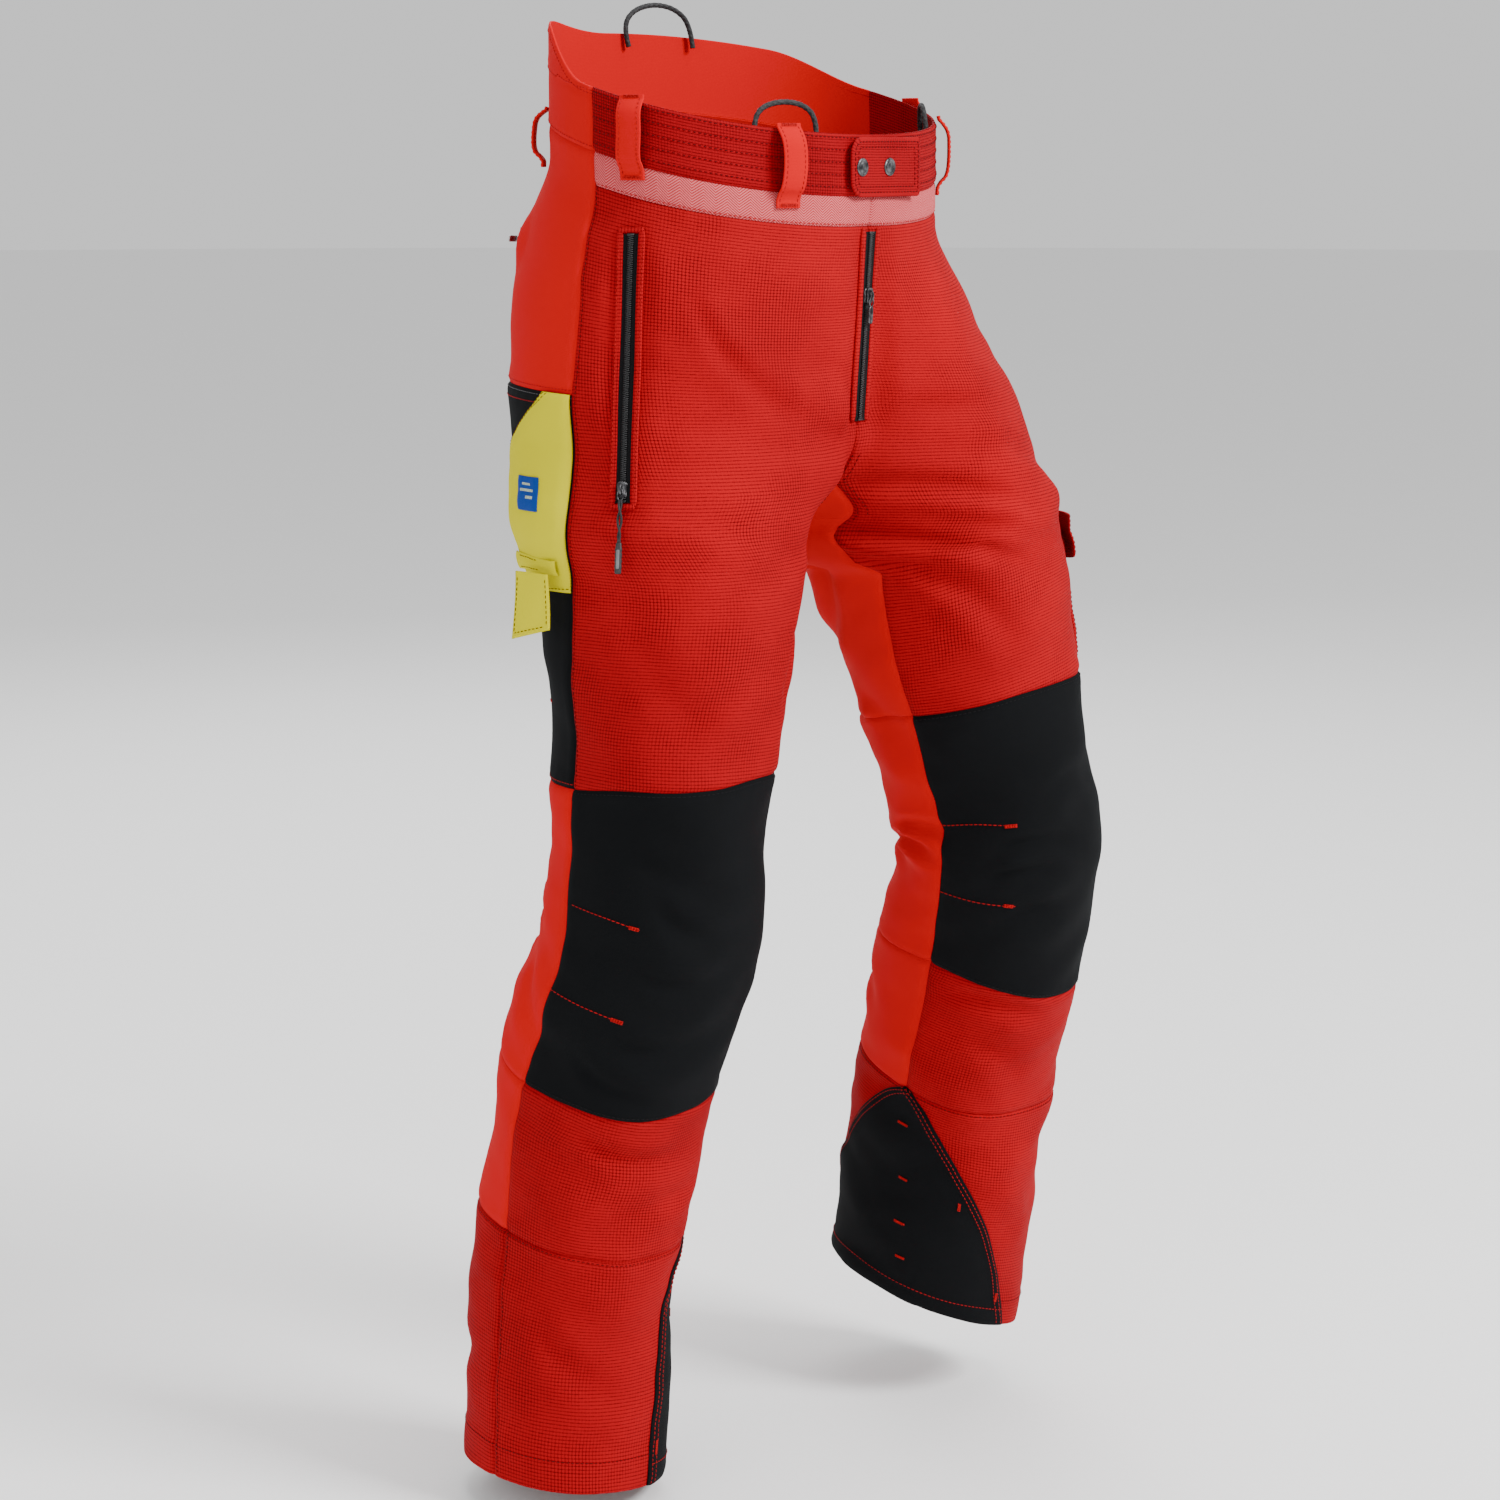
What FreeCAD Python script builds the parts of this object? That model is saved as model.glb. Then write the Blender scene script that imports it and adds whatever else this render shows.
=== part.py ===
"""Chainsaw protection trousers, modelled as they stand when worn, in millimetres.

The frame: +X is the wearer's left, -Y is the front, +Z is up, and the origin is the
middle of the waist. Every fabric piece is a thin shell on one garment surface, which
is given by a distance s down from the waist line and an angle t around the leg:
0 degrees is the outer side, -90 the front, +90 the back and 180 the inner side.
"""
import FreeCAD, Part, Sketcher
import math
import os

Vector = FreeCAD.Vector
RIGHT, LEFT = -1, 1
SIDE_NAMES = {RIGHT: "right", LEFT: "left"}

doc = FreeCAD.newDocument("protection_trousers")
sheet = doc.addObject("Spreadsheet::Sheet", "Sizes")

# ---------------------------------------------------------------- driving sizes
SIZES = [
    ("fabric_thickness", 1.4),
    ("seam_gap", 0.7),
    ("pad_depth", 6.5),
    ("pad_thickness", 5.5),
    ("lining_depth", 12.6),
    ("lining_thickness", 0.7),
    ("pocket_bag_depth", 4.2),
    ("pocket_bag_thickness", 1.0),
    ("waist_top", -30),
    ("waist_bottom", 16),
    ("yoke_bottom", 40),
    ("hip_join", 190),
    ("knee_top", 487),
    ("knee_bottom", 727),
    ("left_knee_rise", 28),
    ("calf_join", 860),
    ("hem_line", 1030),
    ("side_seam", 8),
    ("side_panel_edge", 75),
    ("back_rise", 28),
    ("back_dip", 15),
    ("zip_tape_width", 13),
    ("zip_tape_thickness", 0.8),
    ("zip_chain_width", 5),
    ("zip_chain_height", 1.6),
    ("slider_width", 8),
    ("slider_length", 12),
    ("slider_plate", 1.2),
    ("slider_lift", 0.4),
    ("bridge_width", 1.6),
    ("bridge_length", 8),
    ("bridge_height", 3.4),
    ("bridge_wall", 0.9),
    ("pull_width", 5.4),
    ("pull_thickness", 1.1),
    ("pull_bar", 1.1),
    ("pull_window", 5.6),
    ("pull_window_width", 3),
    ("fly_pull_length", 22),
    ("right_pull_length", 62),
    ("left_pull_length", 46),
    ("back_pull_length", 24),
    ("tab_length", 86),
    ("tab_rounding", 14),
    ("tab_height", 44),
    ("tab_thickness", 2.4),
    ("tab_gap", 2.2),
    ("stud_radius", 3.2),
    ("stud_height", 1.6),
    ("cap_radius", 6),
    ("cap_height", 1.8),
    ("loop_width", 20),
    ("loop_thickness", 1.8),
    ("loop_stand_off", 11),
    ("cord_diameter", 4),
    ("pouch_thickness", 9),
    ("cargo_thickness", 7),
    ("flap_thickness", 1.8),
    ("kick_patch_height", 212),
]
for row, (alias, value) in enumerate(SIZES, start=1):
    sheet.set(f"A{row}", alias)
    sheet.set(f"B{row}", str(value))
    sheet.setAlias(f"B{row}", alias)
doc.recompute()


def size(alias):
    """The value of one named cell, in millimetres or degrees."""
    return float(getattr(sheet, alias))


# ---------------------------------------------------------------- garment surface
CROTCH = 295.0
WAIST_LEAN = 0.26
ROUNDNESS = 2.2

# s, offset of the leg from the mid-plane, half width, depth to the front, depth to the back
GIRTH = [
    (-100, 0, 166, 121, 128),
    (40, 0, 166, 121, 128),
    (80, 9, 168, 121, 144),
    (140, 28, 163, 120, 152),
    (200, 50, 147, 119, 146),
    (250, 78, 124, 118, 127),
    (295, 104, 103.4, 114, 108),
    (360, 107, 90, 103, 93),
    (480, 107, 78, 87, 85),
    (580, 107, 75, 84, 82),
    (670, 107, 76, 84, 85),
    (800, 107, 73, 79, 86),
    (930, 107, 73, 78, 84),
    (1030, 107, 72, 77, 83),
]

# s, step outward, step backward, depth below the waist, slope outward, slope backward
STANCE = {
    RIGHT: [
        (-100, 0, 0, -100, 0, 0),
        (100, 0, 0, 100, 0, 0),
        (295, 1, -6, 295, 0, 0),
        (360, 2, -9, 360, 0.03, 0),
        (500, 8, -10, 500, 0.05, 0.02),
        (600, 13, -2, 600, 0.05, 0.15),
        (680, 18, 22, 680, 0.04, 0.28),
        (800, 22, 52, 800, 0.02, 0.22),
        (930, 26, 73, 935, 0.05, 0.10),
        (1030, 28, 80, 1056, 0.12, 0.035),
    ],
    LEFT: [
        (-100, 0, 0, -100, 0, 0),
        (50, 0, 0, 50, 0, 0),
        (140, 7, -24, 140, 0, 0),
        (200, 14, -42, 200, 0, 0),
        (295, 24, -66, 294, 0, 0),
        (360, 40, -77, 355, 0.15, -0.15),
        (470, 64, -92, 458, 0.20, -0.14),
        (580, 87, -103, 560, 0.14, 0),
        (660, 99, -86, 635, 0.12, 0.20),
        (770, 114, -55, 737, 0.10, 0.28),
        (840, 126, -34, 802, 0.02, 0.28),
        (930, 136, -14, 890, -0.10, 0.28),
        (1030, 144, 8, 990, -0.25, 0.29),
    ],
}


def read_rows(rows, column, s):
    """A smooth value between hand-set rows that never overshoots them."""
    xs = [row[0] for row in rows]
    ys = [row[column] for row in rows]
    steps = [b - a for a, b in zip(xs, xs[1:])]
    rises = [(b - a) / step for a, b, step in zip(ys, ys[1:], steps)]
    slopes = [rises[0]]
    for k in range(1, len(rises)):
        before, after = rises[k - 1], rises[k]
        if before * after <= 0:
            slopes.append(0.0)
            continue
        w1 = 2 * steps[k] + steps[k - 1]
        w2 = steps[k] + 2 * steps[k - 1]
        slopes.append((w1 + w2) / (w1 / before + w2 / after))
    slopes.append(rises[-1])
    s = min(max(s, xs[0]), xs[-1])
    k = max(i for i in range(len(steps)) if s >= xs[i])
    step = steps[k]
    f = (s - xs[k]) / step
    return (
        (1 + 2 * f) * (1 - f) ** 2 * ys[k]
        + f * (1 - f) ** 2 * step * slopes[k]
        + f * f * (3 - 2 * f) * ys[k + 1]
        + f * f * (f - 1) * step * slopes[k + 1]
    )


def ease(value):
    """0 below 0, 1 above 1 and a smooth step between."""
    value = min(max(value, 0.0), 1.0)
    return value * value * (3 - 2 * value)


def half_turn(s, depth=0.0, gap=0.0):
    """The angle at which the section at s reaches the mid-plane, or 180 degrees."""
    offset = read_rows(GIRTH, 1, s)
    half_width = read_rows(GIRTH, 2, s) - depth
    reach = min(max((offset - gap) / half_width, 0.0), 1.0)
    return math.degrees(math.acos(-(reach ** (ROUNDNESS / 2))))


def surface_point(side, s, t, depth=0.0):
    """The point at s and angle t, a given depth inside the outer fabric."""
    offset = read_rows(GIRTH, 1, s)
    half_width = read_rows(GIRTH, 2, s) - depth
    power = 2 / ROUNDNESS
    cosine, sine = math.cos(math.radians(t)), math.sin(math.radians(t))
    fore_aft = read_rows(GIRTH, 3 if sine < 0 else 4, s) - depth
    x = offset + half_width * math.copysign(abs(cosine) ** power, cosine)
    y = fore_aft * math.copysign(abs(sine) ** power, sine)
    x = max(x, 0.0)
    stance = STANCE[side]
    outward, backward, below, slope_out, slope_back = (
        read_rows(stance, column, s) for column in range(1, 6)
    )
    apart = ease((s - CROTCH) / 50)
    reach = 90 * (1 - apart) + 0.1
    share = max(ease(x / reach), apart)
    x += share * outward
    y += share * backward
    lean = WAIST_LEAN * (1 - ease(s / 250))
    z = -below + lean * y + slope_out * (x - offset - outward) + slope_back * (y - backward)
    return Vector(side * x, y, z)


def spread(first, last, count):
    """Evenly spaced values from first to last."""
    return [first + (last - first) * k / (count - 1) for k in range(count)]


def smooth_edge(points):
    """A smooth edge through points."""
    curve = Part.BSplineCurve()
    curve.interpolate(points)
    return curve.toShape()


def band_wire(outer, inner):
    """A closed outline: along the outer points and back along the inner ones."""
    return Part.Wire([
        smooth_edge(outer),
        Part.makeLine(outer[-1], inner[-1]),
        smooth_edge(inner[::-1]),
        Part.makeLine(inner[0], outer[0]),
    ])


def front_edge(s, depth):
    """The angle of the fly, crotch seam and inseam, seen from the front panel."""
    gap = size("seam_gap") / 2
    return -half_turn(s, depth, gap) + 8 * ease((s - CROTCH) / 50)


def back_edge(s, depth):
    """The angle of the seat seam and inseam, seen from the back panel."""
    gap = size("seam_gap") / 2
    return half_turn(s, depth, gap) + 8 * ease((s - CROTCH) / 50)


def shell(side, stations, first, last, depth, thickness, across=15, ruled=False):
    """A curved panel: its edges are angles, or functions of s and depth.

    Panels that run round the crotch are ruled, so that they don't swing between stations.
    """

    def angle(edge, s, at_depth):
        return edge(s, at_depth) if callable(edge) else edge

    wires = []
    for s in stations:
        rows = []
        for at_depth in (depth, depth + thickness):
            low, high = angle(first, s, at_depth), angle(last, s, at_depth)
            rows.append([surface_point(side, s, t, at_depth) for t in spread(low, high, across)])
        wires.append(band_wire(*rows))
    return Part.makeLoft(wires, True, ruled)


def waist_ring(angles, bottom, top_of, depth, thickness):
    """A standing band round the waist from vertical slices at signed angles.

    An angle under 180 is on the wearer's right and 360 minus an angle is on the left.
    """
    wires = []
    for turn in angles:
        side, t = (RIGHT, turn) if turn <= 90 else (LEFT, 180 - turn)
        low, high = (
            [surface_point(side, s, t, d) for d in (depth, depth + thickness)]
            for s in (bottom, top_of(turn))
        )
        wires.append(Part.makePolygon([low[0], high[0], high[1], low[1], low[0]]))
    return Part.makeLoft(wires, True, False)


# ---------------------------------------------------------------- document helpers
SUB_PARTS = {}


def keep(node, item):
    """Registers a document object as the sub-part called node."""
    item.Label = node
    SUB_PARTS[node] = item
    return item


def keep_shape(node, shape):
    """Registers a free shape as a sub-part."""
    item = doc.addObject("Part::Feature", node)
    item.Shape = shape
    return keep(node, item)


def set_on(origin, up, outward):
    """A placement with local Y along up and local Z along outward."""
    up = Vector(up).normalize()
    across = up.cross(outward).normalize()
    facing = across.cross(up)
    matrix = FreeCAD.Matrix(
        across.x, up.x, facing.x, origin.x,
        across.y, up.y, facing.y, origin.y,
        across.z, up.z, facing.z, origin.z,
        0, 0, 0, 1,
    )
    return FreeCAD.Placement(matrix)


def origin_plane(body, role):
    """One of a body's own origin planes."""
    return next(f for f in body.Origin.OriginFeatures if f.Role == role)


def add_rectangle(sketch, tag, left, bottom, right, top):
    """A rectangle whose four sides are expressions on the sheet."""
    corners = [Vector(-1, -1, 0), Vector(1, -1, 0), Vector(1, 1, 0), Vector(-1, 1, 0)]
    base = sketch.GeometryCount
    for k in range(4):
        sketch.addGeometry(Part.LineSegment(corners[k], corners[(k + 1) % 4]), False)
    for k in range(4):
        sketch.addConstraint(Sketcher.Constraint("Coincident", base + k, 2, base + (k + 1) % 4, 1))
        kind = "Horizontal" if k % 2 == 0 else "Vertical"
        sketch.addConstraint(Sketcher.Constraint(kind, base + k))
    rules = [
        ("DistanceX", base, 1, "left", left, -1.0),
        ("DistanceY", base, 1, "bottom", bottom, -1.0),
        ("DistanceX", base + 2, 1, "right", right, 1.0),
        ("DistanceY", base + 2, 1, "top", top, 1.0),
    ]
    for kind, line, end, name, expression, start in rules:
        index = sketch.addConstraint(Sketcher.Constraint(kind, -1, 1, line, end, start))
        sketch.renameConstraint(index, f"{tag}_{name}")
        sketch.setExpression(f"Constraints.{tag}_{name}", expression)


def new_sketch(body, name, role):
    """A sketch on one of the body's origin planes."""
    sketch = body.newObject("Sketcher::SketchObject", name)
    sketch.AttachmentSupport = [(origin_plane(body, role), "")]
    sketch.MapMode = "FlatFace"
    return sketch


def pad(body, name, sketch, length, midplane=False):
    """A pad of a sketch whose length is an expression."""
    feature = body.newObject("PartDesign::Pad", name)
    feature.Profile = sketch
    feature.setExpression("Length", length)
    feature.SideType = "Symmetric" if midplane else "One side"
    return feature


# ---------------------------------------------------------------- zips
def zip_strip(node, start, end, outward):
    """A zip's woven tape with its raised chain, straight from start to end."""
    length = (end - start).Length
    place = set_on(start, end - start, outward)
    tape = doc.addObject("Part::Box", f"{node}_tape")
    tape.setExpression("Length", "Sizes.zip_tape_width")
    tape.setExpression("Height", "Sizes.zip_tape_thickness")
    tape.Width = length
    tape.Placement = place.multiply(
        FreeCAD.Placement(Vector(-size("zip_tape_width") / 2, 0, -size("zip_tape_thickness")), FreeCAD.Rotation())
    )
    chain = doc.addObject("Part::Box", f"{node}_chain")
    chain.setExpression("Length", "Sizes.zip_chain_width")
    chain.setExpression("Height", "Sizes.zip_chain_height")
    chain.Width = length
    chain.Placement = place.multiply(
        FreeCAD.Placement(Vector(-size("zip_chain_width") / 2, 0, 0), FreeCAD.Rotation())
    )
    fuse = doc.addObject("Part::Fuse", node)
    fuse.Base, fuse.Tool = tape, chain
    return keep(node, fuse)


def zip_slider(node, at, along, outward):
    """A slider plate with the arched bridge that carries its pull."""
    body = doc.addObject("PartDesign::Body", node)
    plate = new_sketch(body, f"{node}_plate_outline", "XY_Plane")
    add_rectangle(plate, "plate", "-Sizes.slider_width / 2", "-Sizes.slider_length / 2",
                  "Sizes.slider_width / 2", "Sizes.slider_length / 2")
    pad(body, f"{node}_plate", plate, "Sizes.slider_plate")
    bridge = new_sketch(body, f"{node}_bridge_outline", "YZ_Plane")
    add_rectangle(bridge, "outer", "-Sizes.bridge_length / 2", "Sizes.slider_plate / 2",
                  "Sizes.bridge_length / 2", "Sizes.slider_plate + Sizes.bridge_height")
    add_rectangle(bridge, "window", "Sizes.bridge_wall - Sizes.bridge_length / 2", "Sizes.slider_plate",
                  "Sizes.bridge_length / 2 - Sizes.bridge_wall",
                  "Sizes.slider_plate + Sizes.bridge_height - Sizes.bridge_wall")
    pad(body, f"{node}_bridge", bridge, "Sizes.bridge_width", midplane=True)
    lift = size("zip_chain_height") + size("slider_lift")
    body.Placement = set_on(at + Vector(outward).normalize() * lift, along, outward)
    return keep(node, body)


def pull_pin_height():
    """How far the middle of a pull's bar stands above the zip tape."""
    window = size("bridge_height") - size("bridge_wall")
    return size("zip_chain_height") + size("slider_lift") + size("slider_plate") + window / 2


def zip_pull(node, pin, hang, outward, length_name):
    """A flat pull that hangs from its bar inside the slider's bridge."""
    body = doc.addObject("PartDesign::Body", node)
    outline = new_sketch(body, f"{node}_outline", "XY_Plane")
    add_rectangle(outline, "plate", "-Sizes.pull_width / 2", f"-Sizes.{length_name}",
                  "Sizes.pull_width / 2", "Sizes.pull_bar / 2")
    add_rectangle(outline, "window", "-Sizes.pull_window_width / 2", "-Sizes.pull_window",
                  "Sizes.pull_window_width / 2", "-Sizes.pull_bar / 2")
    pad(body, f"{node}_plate", outline, "Sizes.pull_thickness", midplane=True)
    body.Placement = set_on(pin, -Vector(hang), outward)
    return keep(node, body)


def outward_at(side, s, t):
    """The outward normal of the garment surface."""
    across = surface_point(side, s, t + 1) - surface_point(side, s, t - 1)
    down = surface_point(side, s + 2, t) - surface_point(side, s - 2, t)
    normal = down.cross(across) * side
    return normal.normalize()


def slot_box(start, end, outward, width):
    """A box that opens a panel along a zip."""
    reach = 30.0
    box = Part.makeBox(width, (end - start).Length, reach)
    place = set_on(start, end - start, outward)
    box.Placement = place.multiply(FreeCAD.Placement(Vector(-width / 2, 0, -reach / 2), FreeCAD.Rotation()))
    return box


# The lines of the zips on the garment: side, then s and t at each end, and how far out
FRONT_POCKETS = {RIGHT: ((66, -13), (266, -20), 1.5), LEFT: ((70, -13), (262, -20), 2.0)}
BACK_POCKET = ((101, 50), (108, 84), 3.0)
FLY = (44, 214)


def zip_line(side, ends, stand):
    """Start, end and outward direction of a straight zip on the garment."""
    (s0, t0), (s1, t1) = ends
    start, end = surface_point(side, s0, t0), surface_point(side, s1, t1)
    normal = outward_at(side, (s0 + s1) / 2, (t0 + t1) / 2)
    along = (end - start).normalize()
    normal = (normal - along * normal.dot(along)).normalize()
    return start + normal * stand, end + normal * stand, normal


pocket_lines = {
    side: zip_line(side, (upper, lower), stand)
    for side, (upper, lower, stand) in FRONT_POCKETS.items()
}
back_pocket_line = zip_line(RIGHT, BACK_POCKET[:2], BACK_POCKET[2])
fly_ends = [surface_point(RIGHT, s, -half_turn(s)) for s in FLY]
fly_normal = Vector(0, -1, 0)
fly_along = (fly_ends[1] - fly_ends[0]).normalize()
fly_normal = (fly_normal - fly_along * fly_normal.dot(fly_along)).normalize()

# ---------------------------------------------------------------- fabric panels
fabric = size("fabric_thickness")
half_gap = size("seam_gap") / 2
seam = size("side_seam")
seam_step = 0.25
waist_bottom, yoke_bottom = size("waist_bottom"), size("yoke_bottom")
hip_join, calf_join, hem = size("hip_join"), size("calf_join"), size("hem_line")


def back_top(t):
    """The top edge of the high back, from the right side seam over 90 to the left one at 180."""
    right = size("back_rise") * ease((t - 8) / 34) - size("back_dip") * ease((t - 44) / 40)
    left = (size("back_rise") - size("back_dip")) * ease((172 - t) / 34)
    return size("waist_top") - (right if t < 90 else left)


def front_top(t):
    """The level top edge of the front waistband."""
    return size("waist_top")


for side, name in SIDE_NAMES.items():
    turns = [-89.8, -75, -60, -45, -30, -18, -5, seam - seam_step]
    if side == LEFT:
        turns = [180 - turn for turn in turns]
    keep_shape(f"waistband_{name}", waist_ring(turns, waist_bottom - half_gap, front_top, 0, fabric + 1))

high_turns = [seam + seam_step, 16, 24, 32, 42, 52, 62, 76, 90]
high_turns += [180 - turn for turn in high_turns[-2::-1]]
keep_shape("high_back_panel", waist_ring(high_turns, waist_bottom - half_gap, back_top, 0, fabric + 0.6))

yokes = []
for side in (RIGHT, LEFT):
    turns = [-88.6, -75, -60, -45, -30, -18, -5, seam - seam_step]
    if side == LEFT:
        turns = [180 - turn for turn in turns]
    strip_bottom = yoke_bottom - half_gap
    yokes.append(waist_ring(turns, strip_bottom, lambda t: waist_bottom + half_gap, 0, fabric))
keep_shape("yoke_strips", Part.makeCompound(yokes))

# Half widths of the kick patch at the hem in degrees, and the share of its height where it is full
KICK_PATCH_FRONT = {RIGHT: (78, 0.6), LEFT: (90, 1.25)}
KICK_PATCH_BACK = (95, 0.62)


def arch(s, top, height, half, full_at):
    """The half width of a pointed arch at s, growing as a sine from its tip."""
    rise = min((s - top) / height / full_at, 1.0)
    return 2 + (half - 2) * math.sin(math.pi / 2 * rise)


BODY_STATIONS = [80, 120, 160, 192, 230, 260, 283, 310, 345, 395]
slot_width = size("zip_tape_width") + 1
for side, name in SIDE_NAMES.items():
    knee_rise = size("left_knee_rise") if side == LEFT else 0
    knee_top, knee_bottom = size("knee_top") - knee_rise, size("knee_bottom") - knee_rise
    front = shell(side, [yoke_bottom + half_gap] + BODY_STATIONS + [knee_top - half_gap],
                  front_edge, seam - seam_step, 0, fabric, across=21, ruled=True)
    start, end, normal = pocket_lines[side]
    front = front.cut(slot_box(start, end, normal, slot_width))
    front = front.cut(slot_box(fly_ends[0] - fly_along * 4, fly_ends[1], fly_normal, slot_width))
    keep_shape(f"{name}_front_panel", front)

    hip = shell(side, [waist_bottom + half_gap, 40, 80, 120, 160, hip_join - half_gap],
                seam + seam_step, back_edge, 0, fabric, across=17, ruled=True)
    if side == RIGHT:
        start, end, normal = back_pocket_line
        hip = hip.cut(slot_box(start, end, normal, slot_width))
    keep_shape(f"{name}_hip_panel", hip)

    lower = [hip_join + half_gap] + [s for s in BODY_STATIONS if s > hip_join + 5] + [knee_top - half_gap]
    keep_shape(f"{name}_back_thigh_panel",
               shell(side, lower, size("side_panel_edge") + seam_step, back_edge, 0, fabric, ruled=True))
    keep_shape(f"{name}_side_panel",
               shell(side, lower, seam + seam_step, size("side_panel_edge") - seam_step, 0, fabric,
                     across=9, ruled=True))

    inseam = -172
    knee = spread(knee_top + half_gap, knee_bottom - half_gap, 6)
    shin = spread(knee_bottom + half_gap, hem, 9)
    calf = spread(knee_bottom + half_gap, calf_join - half_gap, 5)
    lower_calf = spread(calf_join + half_gap, hem, 6)
    front_span = (inseam + seam_step, seam - seam_step)
    back_span = (seam + seam_step, 360 + inseam - seam_step)
    keep_shape(f"{name}_knee_panel", shell(side, knee, *front_span, 0, fabric))
    keep_shape(f"{name}_knee_back_panel", shell(side, knee, *back_span, 0, fabric))
    keep_shape(f"{name}_shin_front_panel", shell(side, shin, *front_span, 0, fabric))
    keep_shape(f"{name}_calf_panel", shell(side, calf, *back_span, 0, fabric))
    keep_shape(f"{name}_lower_calf_panel", shell(side, lower_calf, *back_span, 0, fabric))

    # ------------------------------------------------------------ inner layers
    pad_depth, pad_thickness = size("pad_depth"), size("pad_thickness")
    pad_stations = [66] + BODY_STATIONS + [knee_top - 3]

    def pad_edge(s, depth):
        return max(-half_turn(s, depth, 4), -150)

    keep_shape(f"{name}_thigh_cut_pad",
               shell(side, pad_stations, pad_edge, 0, pad_depth, pad_thickness, ruled=True))
    keep_shape(f"{name}_knee_cut_pad",
               shell(side, spread(knee_top + 1, knee_bottom - 1, 6), -150, 0, pad_depth, pad_thickness))
    keep_shape(f"{name}_shin_cut_pad",
               shell(side, spread(knee_bottom + 3, hem - 12, 6), -150, 0, pad_depth, pad_thickness))
    lining_depth, lining = size("lining_depth"), size("lining_thickness")
    keep_shape(f"{name}_thigh_lining",
               shell(side, [320, 350, 380, 430, knee_top - 4], -179, 179, lining_depth, lining, across=25))
    keep_shape(f"{name}_shin_lining",
               shell(side, spread(knee_bottom + 4, hem - 10, 6), -179, 179, lining_depth, lining, across=25))

    # ------------------------------------------------------------ kick patch
    patch_height = size("kick_patch_height")
    patch_top = hem - patch_height
    patch_rows = [patch_top + patch_height * f for f in (0.01, 0.06, 0.14, 0.28, 0.45, 0.7, 1)]

    def patch_front(s, depth):
        return 188 - arch(s, patch_top, patch_height, *KICK_PATCH_FRONT[side])

    def patch_back(s, depth):
        return 188 + arch(s, patch_top, patch_height, *KICK_PATCH_BACK)

    keep_shape(f"{name}_kick_patch",
               shell(side, patch_rows, patch_front, patch_back, -fabric - 0.7, fabric))

bags = []
for side in (RIGHT, LEFT):
    bags.append(shell(side, [120, 160, 200, 240, 275], -78, -26,
                      size("pocket_bag_depth"), size("pocket_bag_thickness"), across=9))
keep_shape("front_pocket_bags", Part.makeCompound(bags))
keep_shape("back_pocket_bag", shell(RIGHT, [122, 150, 180, 215], 46, 84,
                                    size("pocket_bag_depth"), size("pocket_bag_thickness"), across=7))

# ---------------------------------------------------------------- zips and pulls
pin_height = pull_pin_height()


def zip_set(prefix, start, end, normal, slider_at, length_name, hang):
    """Tape and chain, slider and pull of one zip."""
    along = (end - start).normalize()
    clear = 0.5
    zip_strip(f"{prefix}_zip", start + along * clear, end - along * clear, normal)
    zip_slider(f"{prefix}_slider", slider_at, along, normal)
    zip_pull(f"{prefix}_pull", slider_at + normal * pin_height, hang, normal, length_name)


for side, name in SIDE_NAMES.items():
    start, end, normal = pocket_lines[side]
    along = (end - start).normalize()
    zip_set(f"{name}_front_pocket", start, end, normal, end - along * 10, f"{name}_pull_length", along)
start, end, normal = back_pocket_line
along = (end - start).normalize()
zip_set("back_pocket", start, end, normal, start + along * 10, "back_pull_length", -along)
fly_sink = fly_normal * -0.6
zip_set("fly", fly_ends[0] + fly_sink, fly_ends[1] + fly_sink, fly_normal,
        fly_ends[0] + fly_sink + fly_along * 48, "fly_pull_length", fly_along)

# ---------------------------------------------------------------- waist tab and snaps
tab_turn = 1.6
tab_middle = Vector(12, -120.7, -25.6)
tab_face = FreeCAD.Placement(tab_middle, FreeCAD.Rotation(Vector(0, 0, 1), tab_turn))
# local X along the tab to the wearer's left, local Y up, local Z out to the front
tab_face = tab_face.multiply(FreeCAD.Placement(Vector(0, 0, 0), FreeCAD.Rotation(Vector(1, 0, 0), 90)))
tab = doc.addObject("PartDesign::Body", "waist_tab")
outline = new_sketch(tab, "waist_tab_outline", "XY_Plane")
add_rectangle(outline, "tab", "-Sizes.tab_length / 2", "-Sizes.tab_height / 2",
              "Sizes.tab_length / 2", "Sizes.tab_height / 2")
tab_pad = pad(tab, "waist_tab_pad", outline, "Sizes.tab_thickness")
doc.recompute()
rounding = tab.newObject("PartDesign::Fillet", "waist_tab_round_end")
end_edges = []
for index, edge in enumerate(tab_pad.Shape.Edges, start=1):
    middle = edge.CenterOfMass
    if middle.x < -size("tab_length") / 2 + 0.1 and abs(middle.y) > size("tab_height") / 2 - 0.1:
        end_edges.append(f"Edge{index}")
rounding.Base = (tab_pad, end_edges)
rounding.Radius = size("tab_rounding")
tab.Tip = rounding
tab_lift = FreeCAD.Placement(Vector(0, 0, size("tab_gap")), FreeCAD.Rotation())
tab.Placement = tab_face.multiply(tab_lift)
keep("waist_tab", tab)

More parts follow.
